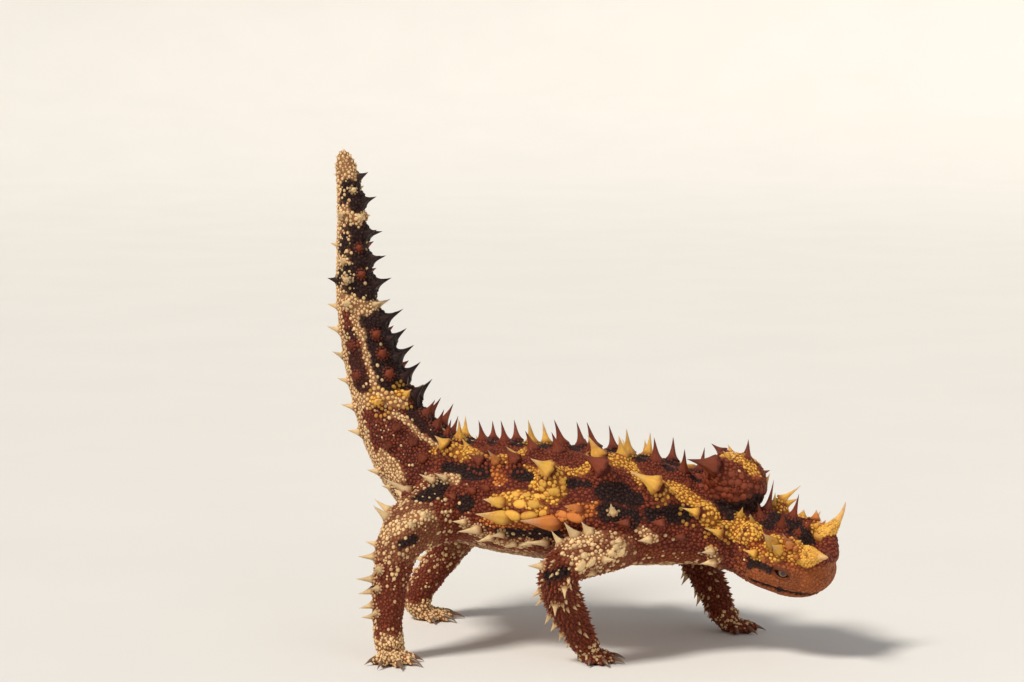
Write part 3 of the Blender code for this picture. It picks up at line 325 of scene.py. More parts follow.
SPINES = entries(
    Spine,
    # The pairs along the back.
    "trunk",
    (64.5, -14, 5.2, 2.0, "red", "needle", 10, 12),
    (69.5, -14, 5.6, 2.1, "red", "needle", 8, 12),
    (74.0, -13, 4.6, 1.6, "red", "needle", 0, 14),
    (78.5, -14, 5.2, 2.0, "ochre", "needle", 6, 10),
    (86.0, -14, 5.2, 2.0, "red", "needle", 4, 10),
    (92.8, -14, 5.4, 2.0, "red", "needle", 6, 10),
    (99.6, -13, 6.0, 2.2, "ochre", "needle", 8, 10),
    (107.0, -14, 6.6, 2.4, "red", "needle", 14, 12),
    (114.8, -14, 6.6, 2.3, "red", "needle", 16, 12),
    (122.5, -14, 6.3, 2.4, "ochre", "needle", 8, 10),
    (128.3, -14, 6.1, 2.3, "red", "needle", 12, 10),
    (134.2, -14, 5.8, 2.1, "red", "needle", 10, 8),
    # The second row.
    (97.6, -39, 2.6, 1.1, "ochre", "thorn", 40),
    (101.2, -30, 5.0, 2.2, "red", "needle", 20),
    (107.6, -32, 5.2, 2.3, "red", "needle", 14),
    (117.0, -33, 5.8, 2.8, "ochre", "needle", 26, 4),
    (121.8, -25, 5.2, 2.4, "ochre", "needle", 16, 4),
    (90.0, -34, 2.4, 1.1, "red", "thorn", 30),
    (82.6, -32, 2.2, 1.0, "ochre", "thorn", 30),
    (136.5, -30, 2.6, 1.1, "red", "thorn", 20),
    # The third row: the large cones.
    (79.0, -50, 4.2, 2.6, "ochre", "cone", 70),
    (90.8, -55, 4.6, 2.2, "red", "cone", 62),
    (94.4, -55, 4.6, 2.0, "orange", "cone", 14),
    (99.4, -54, 5.6, 2.5, "red", "cone", 26),
    (108.6, -64, 6.6, 3.5, "ochre", "cone", 42),
    (119.8, -56, 7.6, 3.6, "red", "cone", 54),
    (131.2, -57, 8.6, 3.4, "ochre", "cone", 58),
    (139.8, -62, 4.6, 1.8, "ochre", "cone", 70, 0, -0.05),
    (146.6, -69, 4.8, 1.8, "ochre", "cone", 84, 0, -0.3),
    # The flank: plates that lie along the body.
    (90.5, -84, 3.2, 1.3, "red", "thorn", 40),
    (93.5, -80, 3.0, 1.3, "red", "thorn", 30),
    (98.9, -89, 5.0, 1.4, "ochre", "plate", 80, 0, 0.0),
    (100.4, -101, 8.2, 1.8, "ochre", "plate", 84, 0, -0.02),
    (111.6, -100, 9.0, 1.9, "orange", "plate", 84, 0, -0.02),
    (116.0, -88, 6.6, 1.5, "orange", "plate", 84, 0, -0.02),
    (126.0, -90, 3.6, 1.6, "red", "thorn", 60),
    (133.0, -84, 3.2, 1.5, "red", "thorn", 56),
    (124.5, -108, 3.0, 1.3, "cream", "thorn", 55),
    (131.0, -103, 3.2, 1.3, "cream", "thorn", 60),
    (137.5, -92, 3.0, 1.3, "red", "thorn", 55),
    # The hip and the lower flank.
    (78.6, -101, 6.4, 1.7, "cream", "hook", 66, 0, 0.3),
    (80.6, -88, 3.8, 1.3, "cream", "hook", 52, 0, 0.2),
    (82.6, -80, 3.2, 1.2, "cream", "hook", 40, 0, 0.2),
    (86.0, -92, 2.8, 1.2, "red", "thorn", 50),
    (90.0, -113, 3.2, 1.2, "cream", "thorn", 60),
    (93.5, -119, 5.2, 1.6, "cream", "hook", 56, 0, 0.14),
    (96.2, -127, 3.8, 1.4, "cream", "hook", 50, 0, 0.1),
    (99.0, -121, 3.2, 1.3, "cream", "hook", 60, 0, 0.1),
    (101.5, -131, 3.0, 1.2, "cream", "thorn", 55),
    (109.0, -124, 6.2, 1.4, "cream", "hook", 80, 0, 0.05),
    (105.0, -128, 3.0, 1.2, "cream", "thorn", 60),
    (114.0, -118, 3.2, 1.3, "cream", "thorn", 60),
    (119.0, -122, 2.8, 1.2, "cream", "thorn", 55),
    # The neck's double spine.
    (144.6, -98, 3.0, 1.3, "cream", "thorn", 48),
    (145.6, -114, 3.4, 1.5, "cream", "thorn", 56),
    # The tail's base.
    (58.8, -14, 5.0, 2.2, "dark", "needle", 14, 12),
    (57.4, -30, 3.0, 1.6, "ochre", "cone", 6),
    (56.2, -82, 1.7, 1.6, "ochre", "cone", 0),
    (63.5, -72, 2.6, 1.5, "red", "thorn", 30),
    (69.0, -66, 2.8, 1.6, "red", "thorn", 30),
    (66.0, -96, 2.6, 1.4, "red", "thorn", 30),
    (74.0, -74, 3.0, 1.6, "red", "thorn", 40),
    # The tail: dark thorns along its back, pale ones beside and below.
    (5.8, -16, 2.4, 1.2, "dark", "thorn", 12),
    (10.6, -16, 3.2, 1.7, "dark", "needle", 8, 4),
    (17.8, -16, 3.4, 1.8, "dark", "needle", 4, 4),
    (23.6, -16, 3.6, 1.8, "dark", "needle", 6, 4),
    (30.0, -16, 4.0, 2.0, "dark", "needle", 6, 4),
    (34.6, -24, 3.4, 1.1, "cream", "thorn", 0, 4),
    (38.8, -15, 4.8, 2.0, "dark", "needle", 8, 6),
    (43.6, -15, 4.2, 2.0, "dark", "needle", 12, 6),
    (48.0, -15, 4.6, 2.1, "dark", "needle", 12, 8),
    (53.0, -15, 4.8, 2.2, "dark", "needle", 12, 10),
    (8.2, -52, 1.6, 0.9, "cream", "thorn"),
    (14.2, -44, 1.6, 1.3, "cream", "cone", 0),
    (21.0, -48, 2.2, 1.1, "red", "thorn", 10),
    (27.0, -48, 2.4, 1.2, "red", "thorn", 10),
    (41.5, -42, 2.8, 1.4, "red", "thorn", 10),
    (46.0, -42, 2.8, 1.5, "red", "thorn", 10),
    (51.0, -42, 3.0, 1.6, "red", "thorn", 10),
    (13.2, -108, 1.8, 1.3, "cream", "cone", 0),
    (23.5, -104, 1.7, 1.1, "cream", "thorn", 10),
    (27.8, -92, 1.7, 1.3, "cream", "cone", 0),
    (33.4, -96, 2.0, 1.5, "cream", "cone", 0),
    (42.5, -108, 2.4, 1.3, "red", "thorn", 10),
    (49.5, -110, 2.6, 1.4, "red", "thorn", 10),
    (20.0, -140, 1.8, 0.9, "cream", "thorn", 10),
    (28.0, -146, 2.2, 1.0, "dark", "thorn", 10),
    (33.6, -150, 2.6, 1.1, "cream", "thorn", 10),
    (38.6, -146, 3.2, 1.2, "cream", "hook", 20),
    (44.6, -150, 2.8, 1.1, "cream", "hook", 30),
    (50.0, -150, 2.6, 1.0, "cream", "hook", 20),
    (55.4, -148, 3.2, 1.2, "cream", "hook", 20),
    (60.8, -148, 3.2, 1.3, "cream", "hook", 26),
    (69.2, -142, 3.0, 1.3, "cream", "hook", 34),
    (72.6, -138, 2.2, 1.0, "cream", "hook", 34),
    # The head: the crown's dark spines, the ridged temple cone, and the spikes of cheek and brow.
    "head",
    (0.0, -12, 7.4, 1.7, "red", "needle", 2, 16, 0.05, "left"),
    (0.6, -10, 4.4, 1.5, "red", "needle", 6, 4, 0.08, "right"),
    (6.0, -13, 6.0, 1.7, "red", "needle", -2, 2),
    (10.2, -10, 2.2, 1.0, "red", "thorn", 0),
    "trunk",
    (148.2, -31, 3.4, 1.1, "ochre", "thorn", 0),
    "head",
    (0.2, -29, 3.0, 1.0, "ochre", "thorn", -6),
    (6.8, -46, 5.6, 2.1, "ochre", "ridged", 14, 0, 0.08, "right"),
    (8.6, -50, 4.4, 1.8, "ochre", "ridged", 14, 0, 0.08, "right"),
    (6.0, -52, 3.0, 1.8, "ochre", "ridged", 20, 30, 0.08, "left"),
    (9.8, -37, 3.8, 1.4, "orange", "needle", 20, 0, 0.05, "right"),
    (10.4, -40, 2.6, 1.5, "orange", "ridged", 22),
    (12.4, -42, 1.8, 1.0, "orange", "thorn", 10),
    (4.0, -67, 2.8, 1.4, "ochre", "thorn", 70, 10, -0.25),
    (12.8, -30, 2.2, 1.0, "ochre", "thorn", 0),
    (13.4, -54, 1.6, 0.9, "orange", "thorn", 10),
    (15.6, -46, 2.2, 1.0, "ochre", "thorn", 20, 30, -0.1),
    (0.8, -38, 6.2, 1.8, "ochre", "needle", -40, 6, 0.06, "left"),
    (2.4, -42, 3.4, 1.3, "ochre", "thorn", -46, 10, 0.06, "left"),
    (10.0, -40, 2.6, 1.0, "cream", "thorn", -4, 0, 0.06, "left"),
    # The knob on the nape.
    "knob",
    (5.4, -54, 9.0, 3.8, "red", "cone", 58, 14, 0.02, "right"),
    (4.4, -44, 5.0, 2.2, "red", "cone", 36, 10, 0.03, "left"),
    (10.0, -15, 3.6, 1.1, "red", "thorn", 12),
    (12.4, -64, 2.4, 1.0, "red", "thorn", -10),
    (6.2, -34, 2.4, 1.0, "ochre", "thorn", 10),
    (8.4, -92, 2.2, 1.1, "red", "thorn", 0),
    # The legs, whose distances are shares of their length.
    "hind",
    (0.22, 22, 4.2, 1.8, "cream", "thorn", 0),
    (0.30, 60, 3.6, 1.5, "red", "thorn", 10),
    (0.37, 30, 4.4, 1.5, "cream", "hook", 0),
    (0.42, 46, 4.6, 1.5, "cream", "hook", 0),
    (0.36, 128, 1.7, 1.5, "cream", "cone", 0),
    (0.42, 116, 1.7, 1.5, "cream", "cone", 0),
    (0.50, 16, 2.6, 1.1, "cream", "hook", 0),
    (0.55, 24, 3.8, 1.3, "cream", "hook", -6),
    (0.65, 24, 4.0, 1.3, "cream", "hook", -6),
    (0.71, 14, 3.4, 1.3, "cream", "hook", -20),
    (0.77, 20, 3.2, 1.2, "cream", "hook", -16),
    (0.83, 14, 2.8, 1.1, "cream", "hook", -10),
    (0.80, 54, 2.2, 1.0, "cream", "hook", -20),
    (0.60, 62, 2.4, 1.2, "cream", "thorn", 0),
    (0.68, 56, 2.2, 1.1, "cream", "thorn", 0),
    "front",
    (0.24, 100, 3.0, 1.3, "cream", "thorn", -20),
    (0.37, 92, 4.2, 1.7, "cream", "thorn", -34),
    (0.42, 76, 4.6, 1.8, "cream", "thorn", -30),
    (0.47, 50, 3.4, 1.3, "cream", "hook", -10),
    (0.54, 30, 3.6, 1.4, "cream", "hook", -20),
    (0.61, 22, 3.0, 1.1, "cream", "hook", -30),
    (0.66, 12, 3.2, 1.1, "cream", "hook", -36),
    (0.73, 30, 3.0, 1.1, "cream", "hook", -40),
    (0.79, 16, 3.0, 1.1, "cream", "hook", -44),
    (0.85, 30, 2.6, 1.0, "cream", "hook", -50),
    (0.57, 118, 2.8, 1.0, "cream", "hook", -50),
    (0.64, 84, 2.8, 1.0, "cream", "hook", -50),
    (0.37, 176, 2.6, 1.3, "cream", "thorn", 40),
)


class Mound(NamedTuple):
    """A broad mound of the skin: its place, half length along the part, half width, turn in degrees, rise
    and the spacing of its scales."""

    part: str
    distance: float
    angle: float
    half_length: float
    half_width: float
    turn: float
    rise: float
    cell: float


MOUNDS = entries(
    Mound,
    "trunk",
    (82.5, -45, 6.2, 2.9, 0, 1.3, 0.74),
    (108.6, -69, 3.3, 3.6, 0, 1.3, 1.15),
    (131.5, -58, 3.8, 3.4, 0, 1.2, 0.9),
    (120.5, -31, 3.4, 2.0, -20, 0.8, 0.78),
    (119.6, -58, 3.0, 3.0, 0, 1.0, 1.0),
    (141.6, -53, 3.0, 2.8, 0, 2.0, 0.82),
    (146.2, -62, 1.9, 1.9, 0, 1.4, 0.74),
    "head",
    (0.6, -43, 3.1, 2.9, 0, 2.4, 0.86),
    "trunk",
    (102.0, -90, 5.6, 3.3, 4, 1.5, 0.9),
    (113.0, -92, 5.4, 2.2, -14, 1.2, 0.95),
    (80.5, -86, 3.6, 2.4, 0, 1.0, 0.85),
    (145.2, -108, 2.2, 2.8, 0, 1.0, 0.8),
)


class Scute(NamedTuple):
    """A large flat scale: its place, half length along the part, half width, turn in degrees and height."""

    part: str
    distance: float
    angle: float
    half_length: float
    half_width: float
    turn: float
    height: float
    tone: str


SCUTES = entries(
    Scute,
    "trunk",
    (101.0, -97, 2.2, 1.3, 4, 0.6, "ochre"),
    (104.7, -96, 2.0, 1.3, 2, 0.65, "ochre"),
    (107.5, -93, 1.2, 1.05, 0, 0.55, "ochre"),
    (102.4, -88.5, 1.6, 1.1, 2, 0.6, "ochre"),
    (105.4, -87.5, 1.5, 1.05, 2, 0.6, "ochre"),
    (100.9, -82, 1.1, 0.85, 0, 0.55, "ochre"),
    (103.3, -81.5, 1.2, 0.85, 0, 0.55, "ochre"),
    (105.6, -81, 1.1, 0.8, 0, 0.5, "ochre"),
    (110.9, -68.5, 1.1, 0.9, 0, 0.5, "ochre"),
    (109.4, -77, 1.5, 1.1, 10, 0.5, "ochre"),
    (106.9, -73, 1.2, 1.0, 10, 0.5, "ochre"),
    (114.4, -92.5, 2.1, 1.1, -14, 0.5, "orange"),
    (111.8, -91, 1.5, 0.9, -14, 0.5, "orange"),
    "front",
    (0.28, 174, 1.3, 0.9, 10, 0.6, "cream"),
    (0.33, 166, 1.0, 0.8, 0, 0.6, "cream"),
    (0.43, 170, 1.2, 0.9, 20, 0.6, "cream"),
    (0.475, 156, 1.5, 1.1, 20, 0.6, "cream"),
    (0.45, 142, 1.0, 0.8, 0, 0.6, "cream"),
    (0.30, 156, 1.0, 0.8, 0, 0.6, "cream"),
    (0.26, 158, 0.9, 0.7, 0, 0.6, "cream"),
)


class Hide(NamedTuple):
    """Scales of a stretch of a part: from and to as distances, and as angles whichever side they are on,
    the spacing, height beside the radius, how pointed they are, and the share of them that is cream."""

    part: str
    start: float
    end: float
    inner: float
    outer: float
    spacing: float
    height: float
    point: float
    cream: float


HIDES = entries(
    Hide,
    "trunk",
    (0, 200, 0, 181, 0.85, 0.75, 0.3, 0.0),
    (0, 4, 0, 181, 0.85, 1.3, 0.8, 0.3),
    (4, 34, 0, 66, 0.85, 0.8, 0.5, 0.08),
    (4, 34, 66, 181, 0.80, 0.8, 0.4, 0.55),
    (34, 77, 0, 66, 0.80, 0.7, 0.4, 0.04),
    (34, 56, 66, 120, 0.78, 0.7, 0.4, 0.12),
    (34, 77, 120, 181, 0.80, 0.6, 0.3, 0.6),
    (56, 77, 66, 120, 0.80, 0.7, 0.4, 0.12),
    (77, 142, 0, 40, 0.72, 0.8, 0.45, 0.0),
    (77, 142, 40, 72, 0.84, 0.75, 0.25, 0.0),
    (77, 142, 72, 112, 0.90, 0.75, 0.4, 0.01),
    (77, 142, 112, 140, 0.90, 0.7, 0.4, 0.14),
    (77, 142, 140, 181, 1.0, 0.4, 0.0, 0.3),
    (142, 200, 0, 181, 0.85, 0.7, 0.3, 0.05),
    "head",
    (-1, 30, 0, 181, 0.85, 0.45, 0.1, 0.0),
    (-1, 17, 0, 62, 0.80, 0.7, 0.3, 0.0),
    (2, 30, 78, 181, 0.80, 0.2, 0.0, 0.0),
    "knob",
    (0, 20, 0, 181, 1.35, 0.5, 0.0, 0.0),
    (4, 20, 0, 60, 0.80, 0.8, 0.4, 0.06),
    "hind",
    (0, 0.30, 0, 181, 0.90, 0.7, 0.3, 0.15),
    (0.22, 0.50, 0, 92, 0.86, 0.9, 0.5, 0.6),
    (0.22, 0.50, 92, 181, 0.86, 0.8, 0.4, 0.22),
    (0.50, 0.64, 0, 120, 0.84, 1.0, 0.6, 0.42),
    (0.50, 0.64, 120, 181, 0.84, 0.8, 0.6, 0.26),
    (0.64, 0.92, 0, 46, 0.80, 0.9, 0.6, 0.5),
    (0.64, 0.92, 46, 181, 0.80, 0.8, 0.7, 0.16),
    (0.92, 1.1, 0, 181, 0.78, 0.8, 0.4, 0.7),
    "front",
    (0, 0.24, 0, 181, 0.90, 0.7, 0.3, 0.12),
    (0.24, 0.50, 0, 181, 0.92, 0.9, 0.4, 0.5),
    (0.50, 0.92, 0, 181, 0.92, 2.2, 1.0, 0.14),
    (0.92, 1.1, 0, 181, 0.78, 0.8, 0.4, 0.35),
)
SCALE_SINK = 0.25
# Small scales fill the gaps: how near they come to a scale's centre, and their size beside it.
FILL_REACH, FILL_SIZE = 0.66, 0.6
# Where each part's chart lies on the scales' bake map: its corner and its size.
CHARTS = {
    "trunk": (0.01, 0.01, 0.64, 0.50),
    "head": (0.67, 0.01, 0.14, 0.24),
    "knob": (0.83, 0.01, 0.12, 0.24),
    "hind_right": (0.01, 0.53, 0.30, 0.14),
    "hind_left": (0.33, 0.53, 0.30, 0.14),
    "front_right": (0.01, 0.69, 0.30, 0.14),
    "front_left": (0.33, 0.69, 0.30, 0.14),
}
PATCH = 0.003

# The photograph's camera: its place in the animal's frame, how far it looks down and to its left.
CAMERA_PLACE, CAMERA_DOWN, CAMERA_TURN = (106.72, -543.38, 131.32), 6.5, 12.0
CAMERA_LENS = 87.9
# The studio floor, a round one whose rim curves up into a wall: radii and heights in metres.
FLOOR_RINGS = ((0.001, 0), (0.5, 0), (1.4, 0), (1.8, 0.02), (2.1, 0.1), (2.3, 0.25), (2.4, 0.5), (2.42, 1.0))


def unit(vectors):
    return vectors / np.linalg.norm(vectors, axis=-1, keepdims=True)


def smooth_step(values, low, high):
    share = np.clip((values - low) / (high - low), 0, 1)
    return share * share * (3 - 2 * share)


def search_of(points):
    """A search for the points that are near a place."""
    search = kdtree.KDTree(len(points))
    for number, point in enumerate(points):
        search.insert(point, number)
    search.balance()
    return search


def moved(place):
    """The move from the origin to a place in units."""
    return Matrix.Translation(Vector(place) * UNIT)


def noise_at(points, size):
    """Smooth noise from -1 to 1 at points, with blotches of about a size, both in metres."""
    return np.array([noise.noise(Vector(point)) for point in points / size])


def head_turn():
    return (
        Matrix.Rotation(math.radians(HEAD_YAW), 4, "Z")
        @ Matrix.Rotation(math.radians(HEAD_PITCH), 4, "Y")
        @ Matrix.Rotation(math.radians(HEAD_ROLL), 4, "X")
    )


def model_shift():
    """The step from the tables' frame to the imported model's, found at the right eye."""
    low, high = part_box("eye_right")
    place = Vector((EYE_PLACE[0], -EYE_PLACE[1], EYE_PLACE[2])) * UNIT
    return (low + high) / 2 - (moved(HEAD_ROOT) @ head_turn() @ place)


SHIFT = Matrix.Translation(model_shift())
HEAD_MATRIX = SHIFT @ moved(HEAD_ROOT) @ head_turn()


def spline(rows, step):
    """The section at a step between the given ones, by a Catmull-Rom spline."""
    last = len(rows) - 1
    i = min(int(step), last - 1)
    t = step - i
    a, b = rows[i], rows[i + 1]
    before = rows[i - 1] if i > 0 else 2 * a - b
    after = rows[i + 2] if i + 2 <= last else 2 * b - a
    slope, square, cube = b - before, 2 * before - 5 * a + 4 * b - after, 3 * a - before - 3 * b + after
    return a + 0.5 * (slope * t + square * t**2 + cube * t**3)


class Tube:
    """A body part lofted through sections. Its methods take arrays of distances and angles."""

    def __init__(self, sections, matrix, back=None):
        rows = np.array(sections, float)
        steps = np.linspace(0, len(rows) - 1, 40 * (len(rows) - 1) + 1)
        self.table = np.array([spline(rows, step) for step in steps])
        gaps = np.linalg.norm(np.diff(self.table[:, :3], axis=0), axis=1)
        self.distances = np.concatenate([[0], np.cumsum(gaps)])
        self.length = self.distances[-1]
        self.turn, self.root = np.array(matrix)[:3, :3], np.array(matrix)[:3, 3]
        self.back = None if back is None else np.array(back, float)

    def rows(self, distances):
        within = np.clip(distances, 0, self.length)
        return np.stack([np.interp(within, self.distances, column) for column in self.table.T], axis=-1)

    def frames(self, distances):
        """Sections, and the directions forward, to the left and to the back, in the part's frame."""
        reach = 0.02 * self.length
        distances = np.clip(distances, 0, self.length)
        here = self.rows(distances)
        forward = unit(self.rows(distances + reach)[:, :3] - self.rows(distances - reach)[:, :3])
        if self.back is None:
            left = unit(np.array([0.0, 1.0, 0.0]) - forward[:, 1:2] * forward)
            back = np.cross(forward, left)
        else:
            back = unit(self.back - (forward @ self.back)[:, None] * forward)
            left = np.cross(back, forward)
        roll = np.radians(here[:, 6:7])
        turned = np.cos(roll) * back + np.sin(roll) * left
        return here, forward, np.cross(turned, forward), turned

    def places(self, distances, angles, grow=0.0):
        distances, angles = np.broadcast_arrays(np.atleast_1d(distances).astype(float), np.radians(angles))
        here, _, left, back = self.frames(distances)
        x, y = np.sin(angles), np.cos(angles)
        power = 2 / here[:, 7]
        height = np.where(y > 0, here[:, 4], here[:, 5])
        across = np.sign(x) * np.abs(x) ** power * (here[:, 3] + grow)
        upward = np.sign(y) * np.abs(y) ** power * (height + grow)
        points = here[:, :3] + across[:, None] * left + upward[:, None] * back
        return points * UNIT @ self.turn.T + self.root

    def forwards(self, distances):
        return self.frames(np.atleast_1d(distances))[1] @ self.turn.T

    def lefts(self, distances):
        return self.frames(np.atleast_1d(distances))[2] @ self.turn.T

    def found(self, points, guesses):
        """Distances and angles of points near the part, from guessed distances."""
        local = (points - self.root) @ self.turn / UNIT
        here, forward, _, _ = self.frames(guesses)
        distances = np.clip(guesses + np.sum((local - here[:, :3]) * forward, axis=1), 0, self.length)
        here, _, left, back = self.frames(distances)
        offset = local - here[:, :3]
        across, upward = np.sum(offset * left, axis=1), np.sum(offset * back, axis=1)
        height = np.where(upward > 0, here[:, 4], here[:, 5])
        x = np.sign(across) * (np.abs(across) / here[:, 3]) ** (here[:, 7] / 2)
        y = np.sign(upward) * (np.abs(upward) / height) ** (here[:, 7] / 2)
        return distances, np.degrees(np.arctan2(x, y))


def knob_sections():
    """The knob as a part of its own, from its rear to its front."""
    length, width, height = KNOB_SIZES
    shares = [math.sin(math.radians(turn)) for turn in range(-80, 81, 20)]
    rows = []
    for share in shares:
        round_off = math.sqrt(1 - share**2)
        rows.append((KNOB_PLACE[0] + length * share, KNOB_PLACE[1], KNOB_PLACE[2], width * round_off,
                     height * round_off, height * round_off, 0, 2.0))
    return rows


def leg_sections(leg):
    return [(x, y, z, radius, radius, radius, 0, 2.0) for x, y, z, radius in LEGS[leg][0]]


class Body:
    """All the tubes, and a search for the part, distance and angle that a point lies at."""

    def __init__(self):
        backward = (-1.0, 0.0, 0.0)
        self.tubes = {"trunk": Tube(TRUNK_SECTIONS, SHIFT), "head": Tube(HEAD_SECTIONS, HEAD_MATRIX),
                      "knob": Tube(knob_sections(), SHIFT)}
        self.tubes.update({leg: Tube(leg_sections(leg), SHIFT, backward) for leg in LEGS})
        self.samples = []
        for index, name in enumerate(PARTS):
            tube = self.tubes[name]
            start = 0.16 * tube.length if name in LEGS else 0
            for distance in np.arange(start, tube.length, 0.8):
                angles = np.arange(0, 360, 10)
                for point in tube.places(distance, angles):
                    self.samples.append((index, distance, point))
        self.tree = search_of([sample[2] for sample in self.samples])

    def located(self, points):
        """The part's number, distance and angle of each point."""
        nearest = [self.samples[self.tree.find(point)[1]] for point in points]
        part = np.array([sample[0] for sample in nearest])
        distance = np.array([sample[1] for sample in nearest])
        angle = np.zeros(len(points))
        for index, name in enumerate(PARTS):
            own = part == index
            if own.any():
                distance[own], angle[own] = self.tubes[name].found(points[own], distance[own])
        return part, distance, angle

    def sides(self, part, distances, angles, side="both"):
        """The part, distances, angles and side of an entry that stands on both sides or on one. The left side
        of the trunk stands a little ahead, since the body bends as it walks."""
        distances, angles = np.asarray(distances, float), np.asarray(angles, float)
        for word, sign in (("right", 1), ("left", -1)):
            if side not in ("both", word):
                continue
            if part in ("hind", "front"):
                name = part + "_" + word
                yield name, distances * self.tubes[name].length, sign * angles, word
            elif part == "trunk" and word == "left":
                bend = smooth_step(distances, TAIL_END, 110) * smooth_step(-distances, -150, -NECK_AT)
                yield part, distances + LEFT_AHEAD * bend, -angles, word
            else:
                yield part, distances, sign * angles, word


def line_distance(points, line, widths):
    """How far points lie outside a line of places with half widths; negative within it."""
    best = np.full(len(points), np.inf)
    for k in range(len(line) - 1):
        span = line[k + 1] - line[k]
        share = np.clip((points - line[k]) @ span / (span @ span), 0, 1)
        gap = np.linalg.norm(points - line[k] - share[:, None] * span, axis=1)
        best = np.minimum(best, gap - (widths[k] + (widths[k + 1] - widths[k]) * share))
    return best


def tone_row(tone):
    """The weights of one tone alone, all zero for red."""
    row = np.zeros(len(TONES))
    if tone in TONES:
        row[TONES[tone]] = 1.0
    return row


class Ground(NamedTuple):
    """A tone that lies over part of the body before the strokes: its weight, the distances and the angles on
    either side that it lies between, and the highest value of the waves where it shows."""

    part: str
    tone: str
    weight: float
    along: tuple = (-math.inf, math.inf)
    side: tuple = (-math.inf, math.inf)
    highest: float = math.inf


GROUND = entries(
    Ground,
    "trunk",
    ("dark", 0.92, (-math.inf, 56), (-math.inf, 76)),
    ("cream", 0.75, (-math.inf, 33), (76, math.inf)),
    ("dark", 0.75, (4, 33), (76, math.inf), -0.12),
    ("dark", 0.6, (38, 54), (84, 124)),
    ("cream", 0.65, (-math.inf, TAIL_END), (124, math.inf)),
    ("dark", 0.7, (60, TAIL_END), (-math.inf, 40)),
    ("dark", 0.35, (60, TAIL_END), (40, 118)),
    ("orange", 0.35, (TAIL_END, NECK_AT), (118, 150)),
    ("cream", 0.45, (TAIL_END, NECK_AT), (150, math.inf)),
    ("dark", 0.5, (NECK_AT, math.inf), (-math.inf, 60)),
    ("cream", 0.3, (NECK_AT, math.inf), (130, math.inf)),
    "head",
    ("cream", 0.25, (-math.inf, 13), (150, math.inf)),
    ("orange", 0.42, (-math.inf, math.inf), (66, math.inf)),
    "knob",
    ("orange", 0.18, (-math.inf, math.inf), (30, 120)),
    "hind",
    ("orange", 0.2),
    ("cream", 0.3, (0.3, 0.55)),
    ("cream", 0.6, (0.9, math.inf)),
    "front",
    ("orange", 0.2),
    ("cream", 0.25, (0.2, 0.5)),
    ("dark", 0.15, (0.55, 0.9)),
)
# How far the waves move the edges of the ground, as an angle and as a distance.
WAVE_ANGLE, WAVE_DISTANCE = 10, 1.5


def ground_weights(body, part, distance, angle, wave):
    """Weights of the tones before the strokes: by region of the tail, trunk and legs."""
    weights = np.zeros((len(part), len(TONES)))
    side = np.abs(angle) + WAVE_ANGLE * wave
    along = distance + WAVE_DISTANCE * wave
    for ground in GROUND:
        for name in (name for name in PARTS if name.startswith(ground.part)):
            share = along / (body.tubes[name].length if name in LEGS else 1.0)
            where = (part == PARTS.index(name)) & (wave < ground.highest)
            where &= (share > ground.along[0]) & (share < ground.along[1])
            where &= (side > ground.side[0]) & (side < ground.side[1])
            weights[where] *= 1 - ground.weight
            weights[where, TONES[ground.tone]] += ground.weight
    return weights


def tone_weights(body, points, part, distance, angle):
    """Weights of the tones at points: the ground, then the strokes over it with wavy edges."""
    wave = noise_at(points, WAVE_SIZE)
    weights = ground_weights(body, part, distance, angle, wave)
    for stroke in STROKES:
        line = np.array(stroke.line, float)
        for name, distances, angles, _ in body.sides(stroke.part, line[:, 0], line[:, 1], stroke.side):
            places = body.tubes[name].places(distances, angles)
            own = part == PARTS.index(name)
            gap = line_distance(points[own], places, line[:, 2] * UNIT)
            mask = smooth_step(-gap / UNIT + 0.55 * wave[own], -0.3, 0.3)[:, None]
            weights[own] = weights[own] * (1 - mask) + tone_row(stroke.tone) * mask
    return weights


def ring_loft(rings, closed=False, capped=True):
    """A mesh through rings of points that match one to one, closed at its ends or into a loop."""
    bm = bmesh.new()
    loops = []
    for ring in rings:
        made = bmesh.ops.create_circle(bm, segments=len(ring), radius=1.0)["verts"]
        for vert, point in zip(made, ring):
            vert.co = point
        loops.append(list({edge for vert in made for edge in vert.link_edges}))
    pairs = list(zip(loops, loops[1:])) + ([(loops[-1], loops[0])] if closed else [])
    for near, far in pairs:
        bmesh.ops.bridge_loops(bm, edges=near + far)
    if capped and not closed:
        bmesh.ops.holes_fill(bm, edges=[edge for edge in bm.edges if edge.is_boundary])
    bmesh.ops.recalc_face_normals(bm, faces=bm.faces)
    return bm


def merge(into, bm):
    """Adds a bmesh to another one and frees it."""
    mesh = bpy.data.meshes.new("part")
    bm.to_mesh(mesh)
    bm.free()
    into.from_mesh(mesh)
    bpy.data.meshes.remove(mesh)


def add_ellipsoid(into, matrix, sizes):
    scale = Matrix.Diagonal((*[size * UNIT for size in sizes], 1.0))
    bmesh.ops.create_uvsphere(into, u_segments=32, v_segments=20, radius=1.0, matrix=matrix @ scale)


def turned_to(place, direction):
    """A matrix that stands a shape modelled along +Z at a place, along a direction."""
    upright = Vector(direction).to_track_quat("Z", "Y").to_matrix().to_4x4()
    return Matrix.Translation(Vector(place)) @ upright


